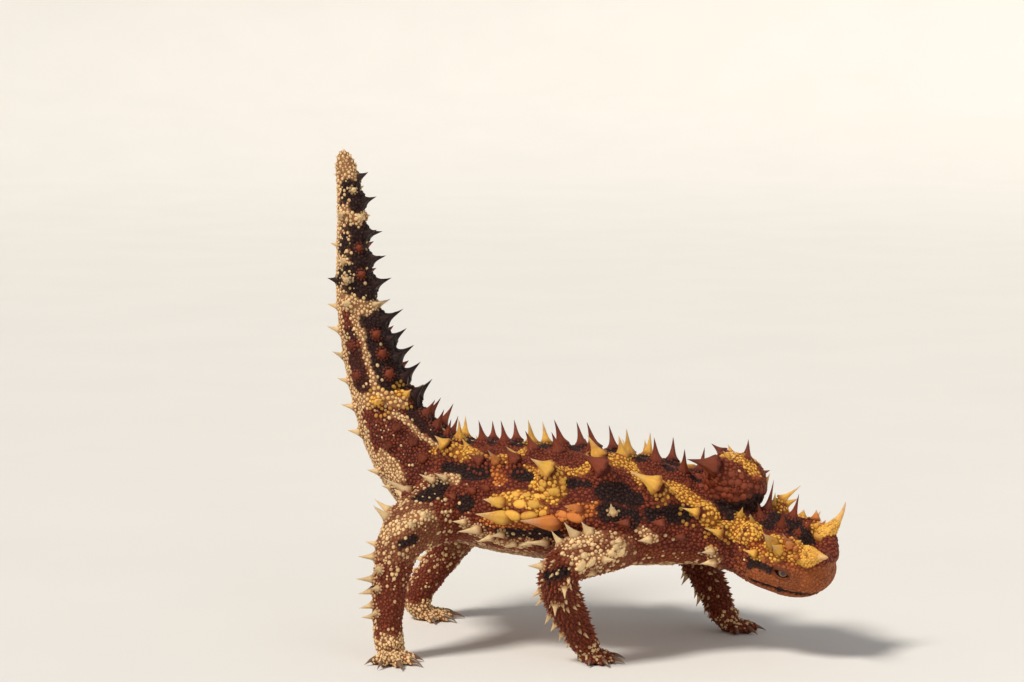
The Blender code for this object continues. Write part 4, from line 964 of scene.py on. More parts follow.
def toe_places(leg):
    """For each toe its root, knuckle and claw tip."""
    line, heading, longest = LEGS[leg]
    x, y, _, radius = line[-1]
    side = -1 if leg.endswith("right") else 1
    for spread, share in TOES:
        turn = math.radians(heading + side * spread)
        along = Vector((math.cos(turn), math.sin(turn), 0.0))
        rim, length = radius * SOLE_RIM, longest * share
        places = (
            Vector((x, y, TOE_ROOT_HEIGHT)) + along * TOE_ROOT_OUT,
            Vector((x, y, KNUCKLE_HEIGHT)) + along * (rim + length * KNUCKLE_OUT),
            Vector((x, y, CLAW_TIP_HEIGHT)) + along * (rim + length * CLAW_TIP_OUT),
        )
        yield [SHIFT @ (place * UNIT) for place in places]


def flesh_mesh(body):
    """All the forms of the flesh, overlapping, as one bmesh."""
    bm = bmesh.new()
    for name in PARTS:
        if name == "knob":
            continue
        tube = body.tubes[name]
        around = 48 if name == "trunk" else 32
        angles = np.arange(around) * 360 / around
        stations = np.linspace(0, tube.length, max(int(tube.length / 1.0), 12))
        merge(bm, ring_loft([[Vector(point) for point in tube.places(d, angles)] for d in stations]))
    add_ellipsoid(bm, SHIFT @ moved(TAIL_TIP[0]), TAIL_TIP[1])
    add_ellipsoid(bm, SHIFT @ moved(KNOB_PLACE), KNOB_SIZES)
    for sign in (1, -1):
        for (x, y, z), sizes in (*HEAD_FORMS, (EYE_PLACE, LID_SIZES)):
            add_ellipsoid(bm, HEAD_MATRIX @ moved((x, sign * y, z)), sizes)
    for leg, (line, _, _) in LEGS.items():
        x, y, _, radius = line[-1]
        pad = SHIFT @ moved((x, y, PAD_HEIGHT))
        add_ellipsoid(bm, pad, [radius * share for share in PAD_SIZES])
        for root, knuckle, _ in toe_places(leg):
            first, last = TOE_RADII
            middle, span = (root + knuckle) / 2, knuckle - root
            bmesh.ops.create_cone(bm, cap_ends=True, segments=16, radius1=first * UNIT, radius2=last * UNIT,
                                  depth=span.length, matrix=turned_to(middle, span))
            add_ellipsoid(bm, Matrix.Translation(knuckle), (last * 1.08,) * 3)
    return bm


def evaluated(obj):
    """The object's mesh with its modifiers applied, in place of the one it had."""
    graph = bpy.context.evaluated_depsgraph_get()
    made = bpy.data.meshes.new_from_object(obj.evaluated_get(graph))
    obj.modifiers.clear()
    obj.data = made


def points_of(mesh):
    points = np.zeros(len(mesh.vertices) * 3)
    mesh.vertices.foreach_get("co", points)
    return points.reshape(-1, 3)


def normals_of(mesh):
    normals = np.zeros(len(mesh.vertices) * 3)
    mesh.vertices.foreach_get("normal", normals)
    return normals.reshape(-1, 3)


def linked(name, mesh, slot, *replaced):
    """An object of the model that rides on its body; its slot is not used."""
    obj = bpy.data.objects.new(name, mesh)
    bpy.context.scene.collection.objects.link(obj)
    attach(obj, "root")
    if replaced:
        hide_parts(*replaced)
    return obj


# How far a spine's place, angle, size, lean and splay vary, and how much of that the right side has.
PLACE_VARIES, ANGLE_VARIES, SIZE_VARIES, LEAN_VARIES, SPLAY_VARIES, RIGHT_VARIES = 0.5, 2.0, 0.07, 5, 3, 0.4


def spines_on(body):
    """Every spine of the table on its side or sides, with small differences: tube, distance and angle."""
    rng = np.random.default_rng(SEED)
    for spine in SPINES:
        for name, distance, angle, word in body.sides(spine.part, spine.distance, spine.angle, spine.side):
            jitter = rng.uniform(-1, 1, 5) * (RIGHT_VARIES if word == "right" else 1.0)
            size = 1 + SIZE_VARIES * jitter[1]
            own = spine._replace(length=spine.length * size, radius=spine.radius * size,
                                 lean=spine.lean + LEAN_VARIES * jitter[3],
                                 splay=spine.splay + SPLAY_VARIES * jitter[4])
            yield name, distance + PLACE_VARIES * jitter[0], angle + ANGLE_VARIES * jitter[2], word, own


def normal_at(tube, distance, angle):
    around = tube.places(distance, angle + 4.0) - tube.places(distance, angle - 4.0)
    along = tube.places(distance + 0.5, angle) - tube.places(distance - 0.5, angle)
    out = unit(np.cross(around, along))[0]
    centre = tube.rows(np.array([distance]))[:, :3] * UNIT @ tube.turn.T + tube.root
    return out if out @ (tube.places(distance, angle) - centre)[0] > 0 else -out


def spine_ways(tube, distance, angle, spine):
    """At a spine's root: the skin's normal, the part's forward direction, and the way the spine points."""
    normal = normal_at(tube, distance, angle)
    forward, left = tube.forwards(distance)[0], tube.lefts(distance)[0]
    lean = math.radians(spine.lean)
    outward = math.copysign(math.sin(math.radians(spine.splay)), angle * spine.splay) * left
    return normal, forward, unit(math.cos(lean) * normal - math.sin(lean) * forward + outward)


class Surface:
    """The finished skin with what each of its points knows: part, distance, angle, tones and normal."""

    def __init__(self, mesh, body):
        self.body = body
        self.points, self.normals = points_of(mesh), normals_of(mesh)
        self.part, self.distance, self.angle = body.located(self.points)
        self.tones = tone_weights(body, self.points, self.part, self.distance, self.angle)
        mesh.calc_loop_triangles()
        self.triangles = np.zeros(len(mesh.loop_triangles) * 3, int)
        mesh.loop_triangles.foreach_get("vertices", self.triangles)
        self.triangles = self.triangles.reshape(-1, 3)
        self.tree = BVHTree.FromPolygons(self.points.tolist(), self.triangles.tolist())
        self.search = search_of(self.points)

    def under(self, place, direction):
        """The place on the skin under a point, seen from outside."""
        start = Vector(place) + Vector(direction) * 8 * UNIT
        hit = self.tree.ray_cast(start, -Vector(direction), 16 * UNIT)[0]
        return np.array(hit if hit is not None else self.tree.find_nearest(Vector(place))[0])


def mound_gaps(body, points):
    """For each broad mound on each side, how far points lie from its middle, as a share of its size."""
    for mound in MOUNDS:
        for name, distance, angle, _ in body.sides(mound.part, mound.distance, mound.angle):
            tube = body.tubes[name]
            normal, forward = normal_at(tube, distance, angle), tube.forwards(distance)[0]
            turn = math.radians(-math.copysign(mound.turn, mound.turn * angle))
            lie = np.array(Matrix.Rotation(turn, 3, Vector(normal)) @ Vector(forward))
            offset = points - tube.places(distance, angle)[0]
            u, v = offset @ lie / mound.half_length, offset @ np.cross(normal, lie) / mound.half_width
            high = offset @ normal / max(mound.half_length, mound.half_width)
            yield mound, np.sqrt(u**2 + v**2 + high**2) / UNIT


def raised_mounds(points, normals, body, mesh_search):
    """How far and which way each point of the skin is lifted by the mounds under the spines."""
    lift, ways = np.zeros(len(points)), normals.copy()

    def raise_by(near, heights, way):
        higher = heights > lift[near]
        lift[near[higher]] = heights[higher]
        ways[near[higher]] = way if way is not None else normals[near[higher]]

    for name, distance, angle, _, spine in spines_on(body):
        form = FORMS[spine.form]
        normal, _, out = spine_ways(body.tubes[name], distance, angle, spine)
        place = body.tubes[name].places(distance, angle)[0]
        reach, rise = form.mound_reach * spine.radius * UNIT, form.mound_rise * spine.radius * UNIT
        near = np.array([item[1] for item in mesh_search.find_range(place, 1.4 * reach)], int)
        if len(near):
            offset = points[near] - place
            offset = offset - np.outer(offset @ normal, normal)
            top = 0.8 * form.root / form.mound_reach
            gap = np.clip((np.linalg.norm(offset, axis=1) / reach - top) / (1 - top), 0, 1)
            raise_by(near, rise * (1 - gap) ** 1.6, unit(normal + MOUND_LEAN * out))
    for scute in SCUTES:
        for name, distance, angle, _ in body.sides(scute.part, scute.distance, scute.angle):
            place = body.tubes[name].places(distance, angle)[0]
            reach = 1.5 * scute.half_length * UNIT
            near = np.array([item[1] for item in mesh_search.find_range(place, reach)], int)
            if len(near):
                gap = np.linalg.norm(points[near] - place, axis=1) / reach
                raise_by(near, 0.5 * scute.height * UNIT * np.clip(1 - gap**2, 0, 1), None)
    broad = np.zeros(len(points))
    for mound, gap in mound_gaps(body, points):
        broad = np.maximum(broad, mound.rise * UNIT * np.clip(1 - gap**2.2, 0, 1))
    return lift[:, None] * ways + broad[:, None] * normals


def head_local(points):
    """Points in the head's frame, in units."""
    matrix = np.array(HEAD_MATRIX)
    return (points - matrix[:3, 3]) @ matrix[:3, :3] / UNIT


def head_hollows(points):
    """How deep the mouth's line, the nostrils and the openings of the lids are pressed in, in units."""
    local = head_local(points)
    slope = math.tan(math.radians(MOUTH_SLOPE))
    below = local[:, 2] - (MOUTH_CORNER[2] - slope * (local[:, 0] - MOUTH_CORNER[0]))
    opened = smooth_step(local[:, 0], MOUTH_CORNER[0] - 1.0, MOUTH_CORNER[0] + 0.6)
    mouth = MOUTH_GROOVE * np.clip(1 - (below / MOUTH_GROOVE) ** 2, 0, 1) * opened
    mouth[local[:, 0] > 19] = 0
    side = np.abs(local[:, 1])
    eye = np.sqrt(((local[:, 0] - EYE_PLACE[0]) / 2.3) ** 2 + ((local[:, 2] - EYE_PLACE[2]) / 1.6) ** 2)
    eye = 2.2 * smooth_step(-eye, -1.1, -0.7) * (side > 5)
    gap = np.linalg.norm(np.stack([local[:, 0], side, local[:, 2]], axis=1) - NOSTRIL_PLACE, axis=1)
    nostril = 0.7 * smooth_step(-gap, -0.75, -0.3)
    return np.maximum(np.maximum(mouth, eye), nostril)


def set_colours(mesh, values):
    layer = mesh.color_attributes.new("tones", "FLOAT_COLOR", "POINT")
    layer.data.foreach_set("color", values.astype(np.float32).ravel())


def set_numbers(mesh, name, values):
    layer = mesh.attributes.new(name, "FLOAT", "POINT")
    layer.data.foreach_set("value", values.astype(np.float32))


def skin_object(body, sizes):
    """One skin over all the flesh: the forms melted into one, with mounds, folds and hollows."""
    mesh = bpy.data.meshes.new("flesh")
    bm = flesh_mesh(body)
    bm.to_mesh(mesh)
    bm.free()
    flesh = [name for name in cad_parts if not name.startswith(("eye", "horn"))]
    obj = linked("skin", mesh, "skin", *flesh)
    remesh = obj.modifiers.new("melt", "REMESH")
    remesh.mode = "VOXEL"
    remesh.voxel_size = sizes.skin_grain
    evaluated(obj)
    bm = bmesh.new()
    bm.from_mesh(obj.data)
    for _ in range(sizes.skin_smoothing):
        bmesh.ops.smooth_vert(bm, verts=bm.verts, factor=0.5, use_axis_x=True, use_axis_y=True,
                              use_axis_z=True)
    bm.to_mesh(obj.data)
    bm.free()
    points, normals = points_of(obj.data), normals_of(obj.data)
    lift = raised_mounds(points, normals, body, search_of(points))
    folds = sum(rise * noise_at(points, size) for rise, size in FOLDS)
    part, _, _ = body.located(points)
    on_head = part == PARTS.index("head")
    hollow = np.where(on_head, head_hollows(points), 0.0)
    folds[on_head] *= 0.4
    points += lift + normals * ((folds - hollow) * UNIT)[:, None]
    points[:, 2] = np.maximum(points[:, 2], 0.0)
    obj.data.vertices.foreach_set("co", points.ravel())
    obj.data.update()
    obj.data.shade_smooth()
    surface = Surface(obj.data, body)
    local = head_local(points)
    from_eye = np.abs(local[:, 0] - EYE_PLACE[0]) + np.abs(local[:, 2] - EYE_PLACE[2])
    # Painted shade: the deep hollows of the mouth's line and of the nostrils take the dark tone.
    surface.tones[(hollow > PAINTED_SHADE_DEPTH) & (from_eye > PAINTED_SHADE_FROM_EYE)] = tone_row("dark")
    set_colours(obj.data, surface.tones)
    bare = on_head * smooth_step(surface.distance, 0.0, 5.0) * smooth_step(np.abs(surface.angle), 55, 85)
    # Painted shade: the skin's low 'along' puts nearly all of it under the skin paint's shade tint, as shade
    # between the scales; the bare face gets less.
    set_numbers(obj.data, "along", 0.12 + 0.6 * bare)
    set_numbers(obj.data, "chance", 0.5 + 0.5 * noise_at(points, MOTTLE_SIZE))
    return obj, surface


class Shape:
    """A small shape that is repeated: its points, faces, where each point lies on its bake patch, and how far
    each point is from its root to its tip."""

    def __init__(self, bm):
        bm.verts.ensure_lookup_table()
        bm.verts.index_update()
        self.points = np.array([vert.co for vert in bm.verts])
        self.faces = [[vert.index for vert in face.verts] for face in bm.faces]
        high = self.points[:, 2].max()
        self.along = np.clip(self.points[:, 2] / high, 0, 1)
        flat = np.linalg.norm(self.points[:, :2], axis=1)
        turn = self.points[:, :2] / np.maximum(flat, 1e-9)[:, None]
        self.patch = turn * (0.5 * (1 - self.along))[:, None]
        bm.free()


def dome_shape(sides, rows):
    """A dome over a flat foot, one unit in radius and in height."""
    bm = bmesh.new()
    bmesh.ops.create_uvsphere(bm, u_segments=sides, v_segments=2 * rows, radius=1.0)
    bmesh.ops.bisect_plane(bm, geom=bm.verts[:] + bm.edges[:] + bm.faces[:], dist=1e-3, plane_co=(0, 0, 0),
                           plane_no=(0, 0, -1), clear_outer=True)
    bmesh.ops.holes_fill(bm, edges=[edge for edge in bm.edges if edge.is_boundary])
    bmesh.ops.recalc_face_normals(bm, faces=bm.faces)
    return Shape(bm)


def spine_shape(form, sides):
    """A spine one unit long with a root of one unit in radius, pulled in to its form's profile."""
    bm = bmesh.new()
    bmesh.ops.create_cone(bm, cap_ends=True, segments=sides, radius1=1.0, radius2=0.0, depth=1.0)
    bmesh.ops.translate(bm, vec=(0, 0, 0.5), verts=bm.verts)
    bmesh.ops.remove_doubles(bm, verts=bm.verts, dist=1e-6)
    for share, _ in form.profile[1:]:
        bmesh.ops.bisect_plane(bm, geom=bm.verts[:] + bm.edges[:] + bm.faces[:], plane_co=(0, 0, share),
                               plane_no=(0, 0, 1))
    for vert in bm.verts:
        flat = Vector((vert.co.x, vert.co.y))
        width = [width for share, width in form.profile if abs(share - vert.co.z) < 1e-4]
        if width:
            vert.co.x, vert.co.y = flat * (width[0] / flat.length)
    bmesh.ops.recalc_face_normals(bm, faces=bm.faces)
    return Shape(bm)


class Coat:
    """Many small shapes that are joined into one mesh, with their tones and their bake map."""

    def __init__(self):
        self.points, self.tones, self.along, self.chance = [], [], [], []
        self.faces, self.places = [], []
        self.count = 0

    def add(self, shape, points, tones, chance, places):
        """Adds copies: points by copy and point, and for each copy its tones, chance and bake place."""
        copies, size = points.shape[:2]
        self.points.append(points.reshape(-1, 3))
        self.tones.append(np.repeat(tones, size, axis=0))
        self.along.append(np.tile(shape.along, copies))
        self.chance.append(np.repeat(chance, size))
        self.places.append((places[:, None, :] + PATCH * shape.patch[None]).reshape(-1, 2))
        for face in shape.faces:
            corners = self.count + np.arange(copies)[:, None] * size + np.array(face)[None]
            self.faces.append(corners)
        self.count += copies * size

    def mesh(self, name):
        mesh = bpy.data.meshes.new(name)
        corners = np.concatenate([block.ravel() for block in self.faces])
        sizes = np.concatenate([np.full(len(block), block.shape[1]) for block in self.faces])
        mesh.vertices.add(self.count)
        mesh.vertices.foreach_set("co", np.concatenate(self.points).ravel())
        mesh.loops.add(len(corners))
        mesh.loops.foreach_set("vertex_index", corners)
        mesh.polygons.add(len(sizes))
        mesh.polygons.foreach_set("loop_start", np.concatenate([[0], np.cumsum(sizes)[:-1]]))
        mesh.update(calc_edges=True)
        mesh.shade_smooth()
        layer = mesh.uv_layers.new(name="OFBake")
        layer.data.foreach_set("uv", np.concatenate(self.places)[corners].ravel())
        set_colours(mesh, np.concatenate(self.tones))
        set_numbers(mesh, "along", np.concatenate(self.along))
        set_numbers(mesh, "chance", np.concatenate(self.chance))
        return mesh


def bake_places(body, part, distance, angle):
    """Where places of the body lie on the bake map: each part is unrolled onto its own chart."""
    places = np.zeros((len(part), 2))
    for index, name in enumerate(PARTS):
        own = part == index
        left, low, width, height = CHARTS[name]
        places[own, 0] = left + width * distance[own] / body.tubes[name].length
        places[own, 1] = low + height * (angle[own] / 360 + 0.5)
    return places


def spine_roots(body, surface):
    """For each spine its root on the skin, the way it points, its forward direction, and its entry."""
    for name, distance, angle, _, spine in spines_on(body):
        tube, form = body.tubes[name], FORMS[spine.form]
        normal, forward, out = spine_ways(tube, distance, angle, spine)
        rise = form.mound_rise * spine.radius * UNIT
        place = tube.places(distance, angle)[0] + rise * unit(normal + MOUND_LEAN * out)
        root = surface.under(place, normal)
        yield name, distance, angle, root, normal, out, forward, spine


def add_spine(coat, shape, body, root, out, forward, normal, name, distance, angle, spine, rng):
    """A spine of the coat: grooved, bent back, and flattened where its form says so."""
    form = FORMS[spine.form]
    side = unit(np.cross(out, forward if abs(out @ forward) < 0.9 else normal))
    over = np.cross(side, out)
    x, y, z = shape.points.T
    turn = np.arctan2(y, x)
    groove = 1 + form.groove_depth * np.cos(form.grooves * turn + rng.uniform(0, 6)) * (1 - z)
    radius = spine.radius * form.root * UNIT * groove
    length = (spine.length - 0.6 * form.mound_rise * spine.radius) * UNIT
    bend = -spine.bend * length * z**2
    sink = -0.5 * UNIT * (1 - z) ** 6
    away = forward - (forward @ out) * out
    points = (root + np.outer(x * radius, side) + np.outer(y * radius * form.flat, over)
              + np.outer(z * length + sink, out) + np.outer(bend, away))
    points[:, 2] = np.maximum(points[:, 2], 0.0002)
    part = np.array([PARTS.index(name)])
    place = bake_places(body, part, np.array([distance]), np.array([angle]))
    coat.add(shape, points[None], tone_row(spine.tone)[None], np.array([rng.uniform()]), place)


def rosette(surface, root, out, normal, spine, rng):
    """Scales in a ring round the foot of a spine: their places, sizes and tones."""
    form = FORMS[spine.form]
    size = form.foot_scale * UNIT
    side = unit(np.cross(normal, out + 0.01 * np.array([0.3, 0.5, 0.8])))
    over = np.cross(normal, side)
    for ring in range(form.foot_rings if spine.radius > 1.5 else 1):
        reach = spine.radius * form.root * UNIT * 0.95 + size * (0.6 + 1.6 * ring)
        count = max(int(math.tau * reach / (2.0 * size)), 5)
        start = rng.uniform(0, math.tau)
        for k in range(count):
            turn = start + math.tau * k / count
            flat = math.cos(turn) * side + math.sin(turn) * over
            hit = surface.tree.find_nearest(Vector(root + reach * flat))
            yield np.array(hit[0]), np.array(hit[1]), size * rng.uniform(0.85, 1.1), flat


class Scales(NamedTuple):
    """All the scales as arrays: where each stands and points, its sizes, its tones, and its part."""

    place: np.ndarray
    normal: np.ndarray
    tangent: np.ndarray
    radius: np.ndarray
    stretch: np.ndarray
    height: np.ndarray
    point: np.ndarray
    lean: np.ndarray
    tones: np.ndarray
    chance: np.ndarray
    part: np.ndarray
    distance: np.ndarray
    angle: np.ndarray


def hide_values(body, surface):
    """Spacing, height, point and share of cream at each point of the skin."""
    values = np.zeros((len(surface.points), 4))
    side = np.abs(surface.angle)
    for hide in HIDES:
        for name in (name for name in PARTS if name.startswith(hide.part)):
            own = surface.part == PARTS.index(name)
            along = surface.distance / (body.tubes[name].length if name in LEGS else 1.0)
            own &= (along >= hide.start) & (along <= hide.end) & (side >= hide.inner) & (side < hide.outer)
            values[own] = (hide.spacing, hide.height, hide.point, hide.cream)
    for mound, gap in mound_gaps(body, surface.points):
        values[gap < 0.95] = (mound.cell, 0.55, 0.05, 0.0)
    return values


def tried_places(surface, spacing, tries, rng):
    """Places to try for scales, closer where the spacing is: place, normal and the nearest skin point."""
    corners = surface.points[surface.triangles]
    first, second = corners[:, 1] - corners[:, 0], corners[:, 2] - corners[:, 0]
    areas = 0.5 * np.linalg.norm(np.cross(first, second), axis=1)
    chances = areas / spacing[surface.triangles[:, 0]] ** 2
    total = int(tries * chances.sum())
    chosen = rng.choice(len(areas), total, p=chances / chances.sum())
    share = rng.uniform(size=(total, 2))
    share[share.sum(axis=1) > 1] = 1 - share[share.sum(axis=1) > 1]
    shares = np.stack([1 - share.sum(axis=1), share[:, 0], share[:, 1]], axis=1)
    place = np.einsum("kc,kcx->kx", shares, corners[chosen])
    normal = unit(np.einsum("kc,kcx->kx", shares, surface.normals[surface.triangles[chosen]]))
    return place, normal, surface.triangles[chosen, 0]


def scattered_scales(body, surface, sizes):
    """Scales all over the skin, no two nearer than their spacing: rings round the spines, then the rest."""
    rng = np.random.default_rng(SEED + 1)
    values = hide_values(body, surface)
    spacing = values[:, 0] * sizes.scale_spacing * UNIT
    place, normal, vertex = tried_places(surface, spacing, sizes.scale_tries, rng)
    total = len(place)
    search = search_of(place)
    taken = place[:, 2] < 0.0006
    local = head_local(place)
    eye = np.sqrt(((local[:, 0] - EYE_PLACE[0]) / 2.1) ** 2 + ((local[:, 2] - EYE_PLACE[2]) / 1.35) ** 2)
    on_head = surface.part[vertex] == PARTS.index("head")
    taken |= on_head & (eye < 1) & (np.abs(local[:, 1]) > 5)
    taken |= on_head & (head_hollows(place) > 0.25)

    def block(point, reach):
        for _, number, _ in search.find_range(point, reach):
            taken[number] = True

    ringed = []
    for _, _, _, root, along, out, _, spine in spine_roots(body, surface):
        block(root, 0.9 * FORMS[spine.form].root * spine.radius * UNIT)
        for spot, up, size, flat in rosette(surface, root, out, along, spine, rng):
            ringed.append((spot, up, size, flat, spine))
    for spot, _, _, _, _, scute in scute_roots(body, surface):
        block(spot, 0.9 * scute.half_width * UNIT)
    kept_rings = []
    for spot, up, size, flat, spine in ringed:
        if all(np.linalg.norm(spot - other[0]) > 0.8 * (size + other[2]) for other in kept_rings[-400:]):
            kept_rings.append((spot, up, size, flat, spine))
            block(spot, 1.5 * size)
    accepted, fill = [], []
    free = ~taken
    for number in range(total):
        if taken[number]:
            continue
        accepted.append(number)
        block(place[number], spacing[vertex[number]])
    taken[:] = ~free
    for number in accepted:
        block(place[number], FILL_REACH * spacing[vertex[number]])
    for number in range(total):
        if not taken[number]:
            fill.append(number)
            block(place[number], FILL_REACH * spacing[vertex[number]])
    share = np.array([1.0] * len(accepted) + [FILL_SIZE] * len(fill))
    accepted = np.array(accepted + fill)
    own = vertex[accepted]
    ring_place = np.array([ring[0] for ring in kept_rings])
    ring_vertex = np.array([surface.search.find(point)[1] for point in ring_place])
    places = np.concatenate([ring_place, place[accepted]])
    vertices = np.concatenate([ring_vertex, own])
    normals = unit(np.concatenate([np.array([ring[1] for ring in kept_rings]), normal[accepted]]))
    count, rings = len(places), len(ring_place)
    part, distance, angle = surface.part[vertices], surface.distance[vertices], surface.angle[vertices]
    tangents = np.zeros((count, 3))
    for index, name in enumerate(PARTS):
        mine = part == index
        if mine.any():
            tangents[mine] = body.tubes[name].forwards(distance[mine])
    lean_sign = np.where(part >= PARTS.index("hind_right"), 1.0, -1.0)
    tangents[:rings] = np.array([ring[3] for ring in kept_rings])
    tangents -= np.sum(tangents * normals, axis=1)[:, None] * normals
    tangents = unit(tangents)
    radius = np.concatenate([[ring[2] for ring in kept_rings], 0.6 * spacing[own] * share])
    radius[rings:] *= rng.uniform(0.82, 1.12, count - rings)
    tones = surface.tones[vertices]
    tones = tones**3
    red = np.clip(1 - surface.tones[vertices].sum(axis=1), 0, 1) ** 3
    tones /= np.maximum(tones.sum(axis=1) + red, 1e-6)[:, None]
    tones[:rings] = 0.5 * tones[:rings] + 0.5 * np.array([tone_row(ring[4].tone) for ring in kept_rings])
    speck = rng.uniform(size=count) < values[vertices, 3]
    speck[:rings] = False
    full = rng.uniform(0.55, 1.0, count)[speck, None]
    tones[speck] = tones[speck] * (1 - full) + tone_row("cream") * full
    radius[speck & (part >= PARTS.index("hind_right"))] *= 1.15
    point = values[vertices, 2] * rng.uniform(0.5, 1.2, count)
    point[:rings] = 0.1
    height = values[vertices, 1] * rng.uniform(0.8, 1.2, count)
    height[:rings] = 0.75
    stretch = rng.uniform(1.0, 1.25, count)
    lean = lean_sign * 0.6 * point
    return Scales(places, normals, tangents, radius, stretch, height, np.clip(point, 0, 1), lean, tones,
                  rng.uniform(size=count), part, distance, angle)


def scute_roots(body, surface):
    """For each large scale its place on the skin, its normal and its lie, with its entry."""
    for scute in SCUTES:
        for name, distance, angle, _ in body.sides(scute.part, scute.distance, scute.angle):
            tube = body.tubes[name]
            normal = normal_at(tube, distance, angle)
            place = surface.under(tube.places(distance, angle)[0], normal)
            up = np.array(surface.tree.find_nearest(Vector(place))[1])
            forward = tube.forwards(distance)[0]
            yield place, up, forward, name, (distance, angle), scute


def scale_points(shape, scales, chosen):
    """The points of chosen scales: domes drawn out to a point, flattened, stretched and leaning."""
    x, y, z = shape.points.T
    pull = np.where((z > 0.01) & (z < 0.99), 1.0, 0.0)
    point = scales.point[chosen][:, None]
    narrow = 1 - 0.48 * point * pull
    radius, normal, tangent = scales.radius[chosen][:, None], scales.normal[chosen], scales.tangent[chosen]
    side = np.cross(normal, tangent)
    spin = (math.tau * scales.chance[chosen])[:, None]
    x, y = x * np.cos(spin) - y * np.sin(spin), x * np.sin(spin) + y * np.cos(spin)
    high = z * (1 - 0.3 * point * pull) - SCALE_SINK
    height = scales.height[chosen][:, None]
    stretch, lean = scales.stretch[chosen][:, None], scales.lean[chosen][:, None]
    along = radius * (x * narrow * stretch + lean * z * height)
    across = radius * y * narrow
    upward = radius * height * high
    return (scales.place[chosen][:, None] + along[..., None] * tangent[:, None]
            + across[..., None] * side[:, None] + upward[..., None] * normal[:, None])


def scale_groups(scales):
    """The scales of each piece of the coat, by part of the body."""
    trunk = scales.part == PARTS.index("trunk")
    torso = trunk & (scales.distance >= TAIL_END) & (scales.distance < NECK_AT)
    groups = {
        "scales_tail": trunk & (scales.distance < TAIL_END),
        "scales_back": torso & (np.abs(scales.angle) < 62),
        "scales_flank_right": torso & (scales.angle <= -62),
        "scales_flank_left": torso & (scales.angle >= 62),
        "scales_neck": trunk & (scales.distance >= NECK_AT),
    }
    for name in PARTS[1:]:
        groups["scales_" + name] = scales.part == PARTS.index(name)
    return groups


class Sum:
    """A shader socket that takes part in sums with numbers and with other sockets."""

    def __init__(self, paint, socket):
        self.paint, self.socket = paint, socket

    def _math(self, operation, first, second):
        return self.paint.node("ShaderNodeMath", {"operation": operation}, {0: first, 1: second})

    def __add__(self, other):
        return self._math("ADD", self, other)

    def __sub__(self, other):
        return self._math("SUBTRACT", self, other)

    def __rsub__(self, other):
        return self._math("SUBTRACT", other, self)

    def __mul__(self, other):
        return self._math("MULTIPLY", self, other)

    __radd__, __rmul__ = __add__, __mul__


class Paint:
    """A material under construction."""

    def __init__(self, name, roughness, coat=0.0):
        self.material = bpy.data.materials.new(name)
        self.material.use_nodes = True
        self.tree = self.material.node_tree
        self.shader = self.tree.nodes["Principled BSDF"]
        self.shader.inputs["Roughness"].default_value = roughness
        self.shader.inputs["Coat Weight"].default_value = coat
        self.shader.inputs["Specular IOR Level"].default_value = 0.3

    def link(self, value, socket):
        if isinstance(value, Sum):
            self.tree.links.new(value.socket, socket)
        else:
            socket.default_value = value

    def node(self, kind, settings, values, output=0):
        made = self.tree.nodes.new(kind)
        for key, value in settings.items():
            setattr(made, key, value)
        for key, value in values.items():
            self.link(value, made.inputs[key])
        return Sum(self, made.outputs[output])

    def number(self, name):
        return self.node("ShaderNodeAttribute", {"attribute_name": name}, {}, "Fac")

    def scaled(self, colour, factor):
        return self.node("ShaderNodeVectorMath", {"operation": "SCALE"}, {0: colour, "Scale": factor})

    def added(self, first, second):
        return self.node("ShaderNodeVectorMath", {"operation": "ADD"}, {0: first, 1: second})

    def mixed(self, first, second, factor):
        return self.node("ShaderNodeMix", {"data_type": "RGBA"}, {0: factor, 6: first, 7: second}, 2)

    def place(self):
        return self.node("ShaderNodeTexCoord", {}, {}, "Object")

    def speckle(self, scale, detail=3.0):
        values = {"Vector": self.place(), "Scale": scale, "Detail": detail}
        return self.node("ShaderNodeTexNoise", {}, values, "Fac")

    def cells(self, scale):
        return self.node("ShaderNodeTexVoronoi", {"feature": "DISTANCE_TO_EDGE"},
                         {"Vector": self.place(), "Scale": scale}, "Distance")

    def ramp(self, value, low, high):
        return self.node("ShaderNodeMapRange", {"interpolation_type": "SMOOTHSTEP"},
                         {"Value": value, "From Min": low, "From Max": high})

    def colour(self, value):
        self.link(value, self.shader.inputs["Base Color"])

    def rough(self, value):
        self.link(value, self.shader.inputs["Roughness"])

    def bump(self, height, depth, strength=1.0):
        normal = self.node("ShaderNodeBump", {}, {"Height": height, "Distance": depth, "Strength": strength})
        self.link(normal, self.shader.inputs["Normal"])


# Painted shade: colours are multiplied by this tint at the foot of scales, spines and horns, and on the skin
# between the scales.
PAINTED_SHADE_TINT = (0.46, 0.27, 0.2, 1)


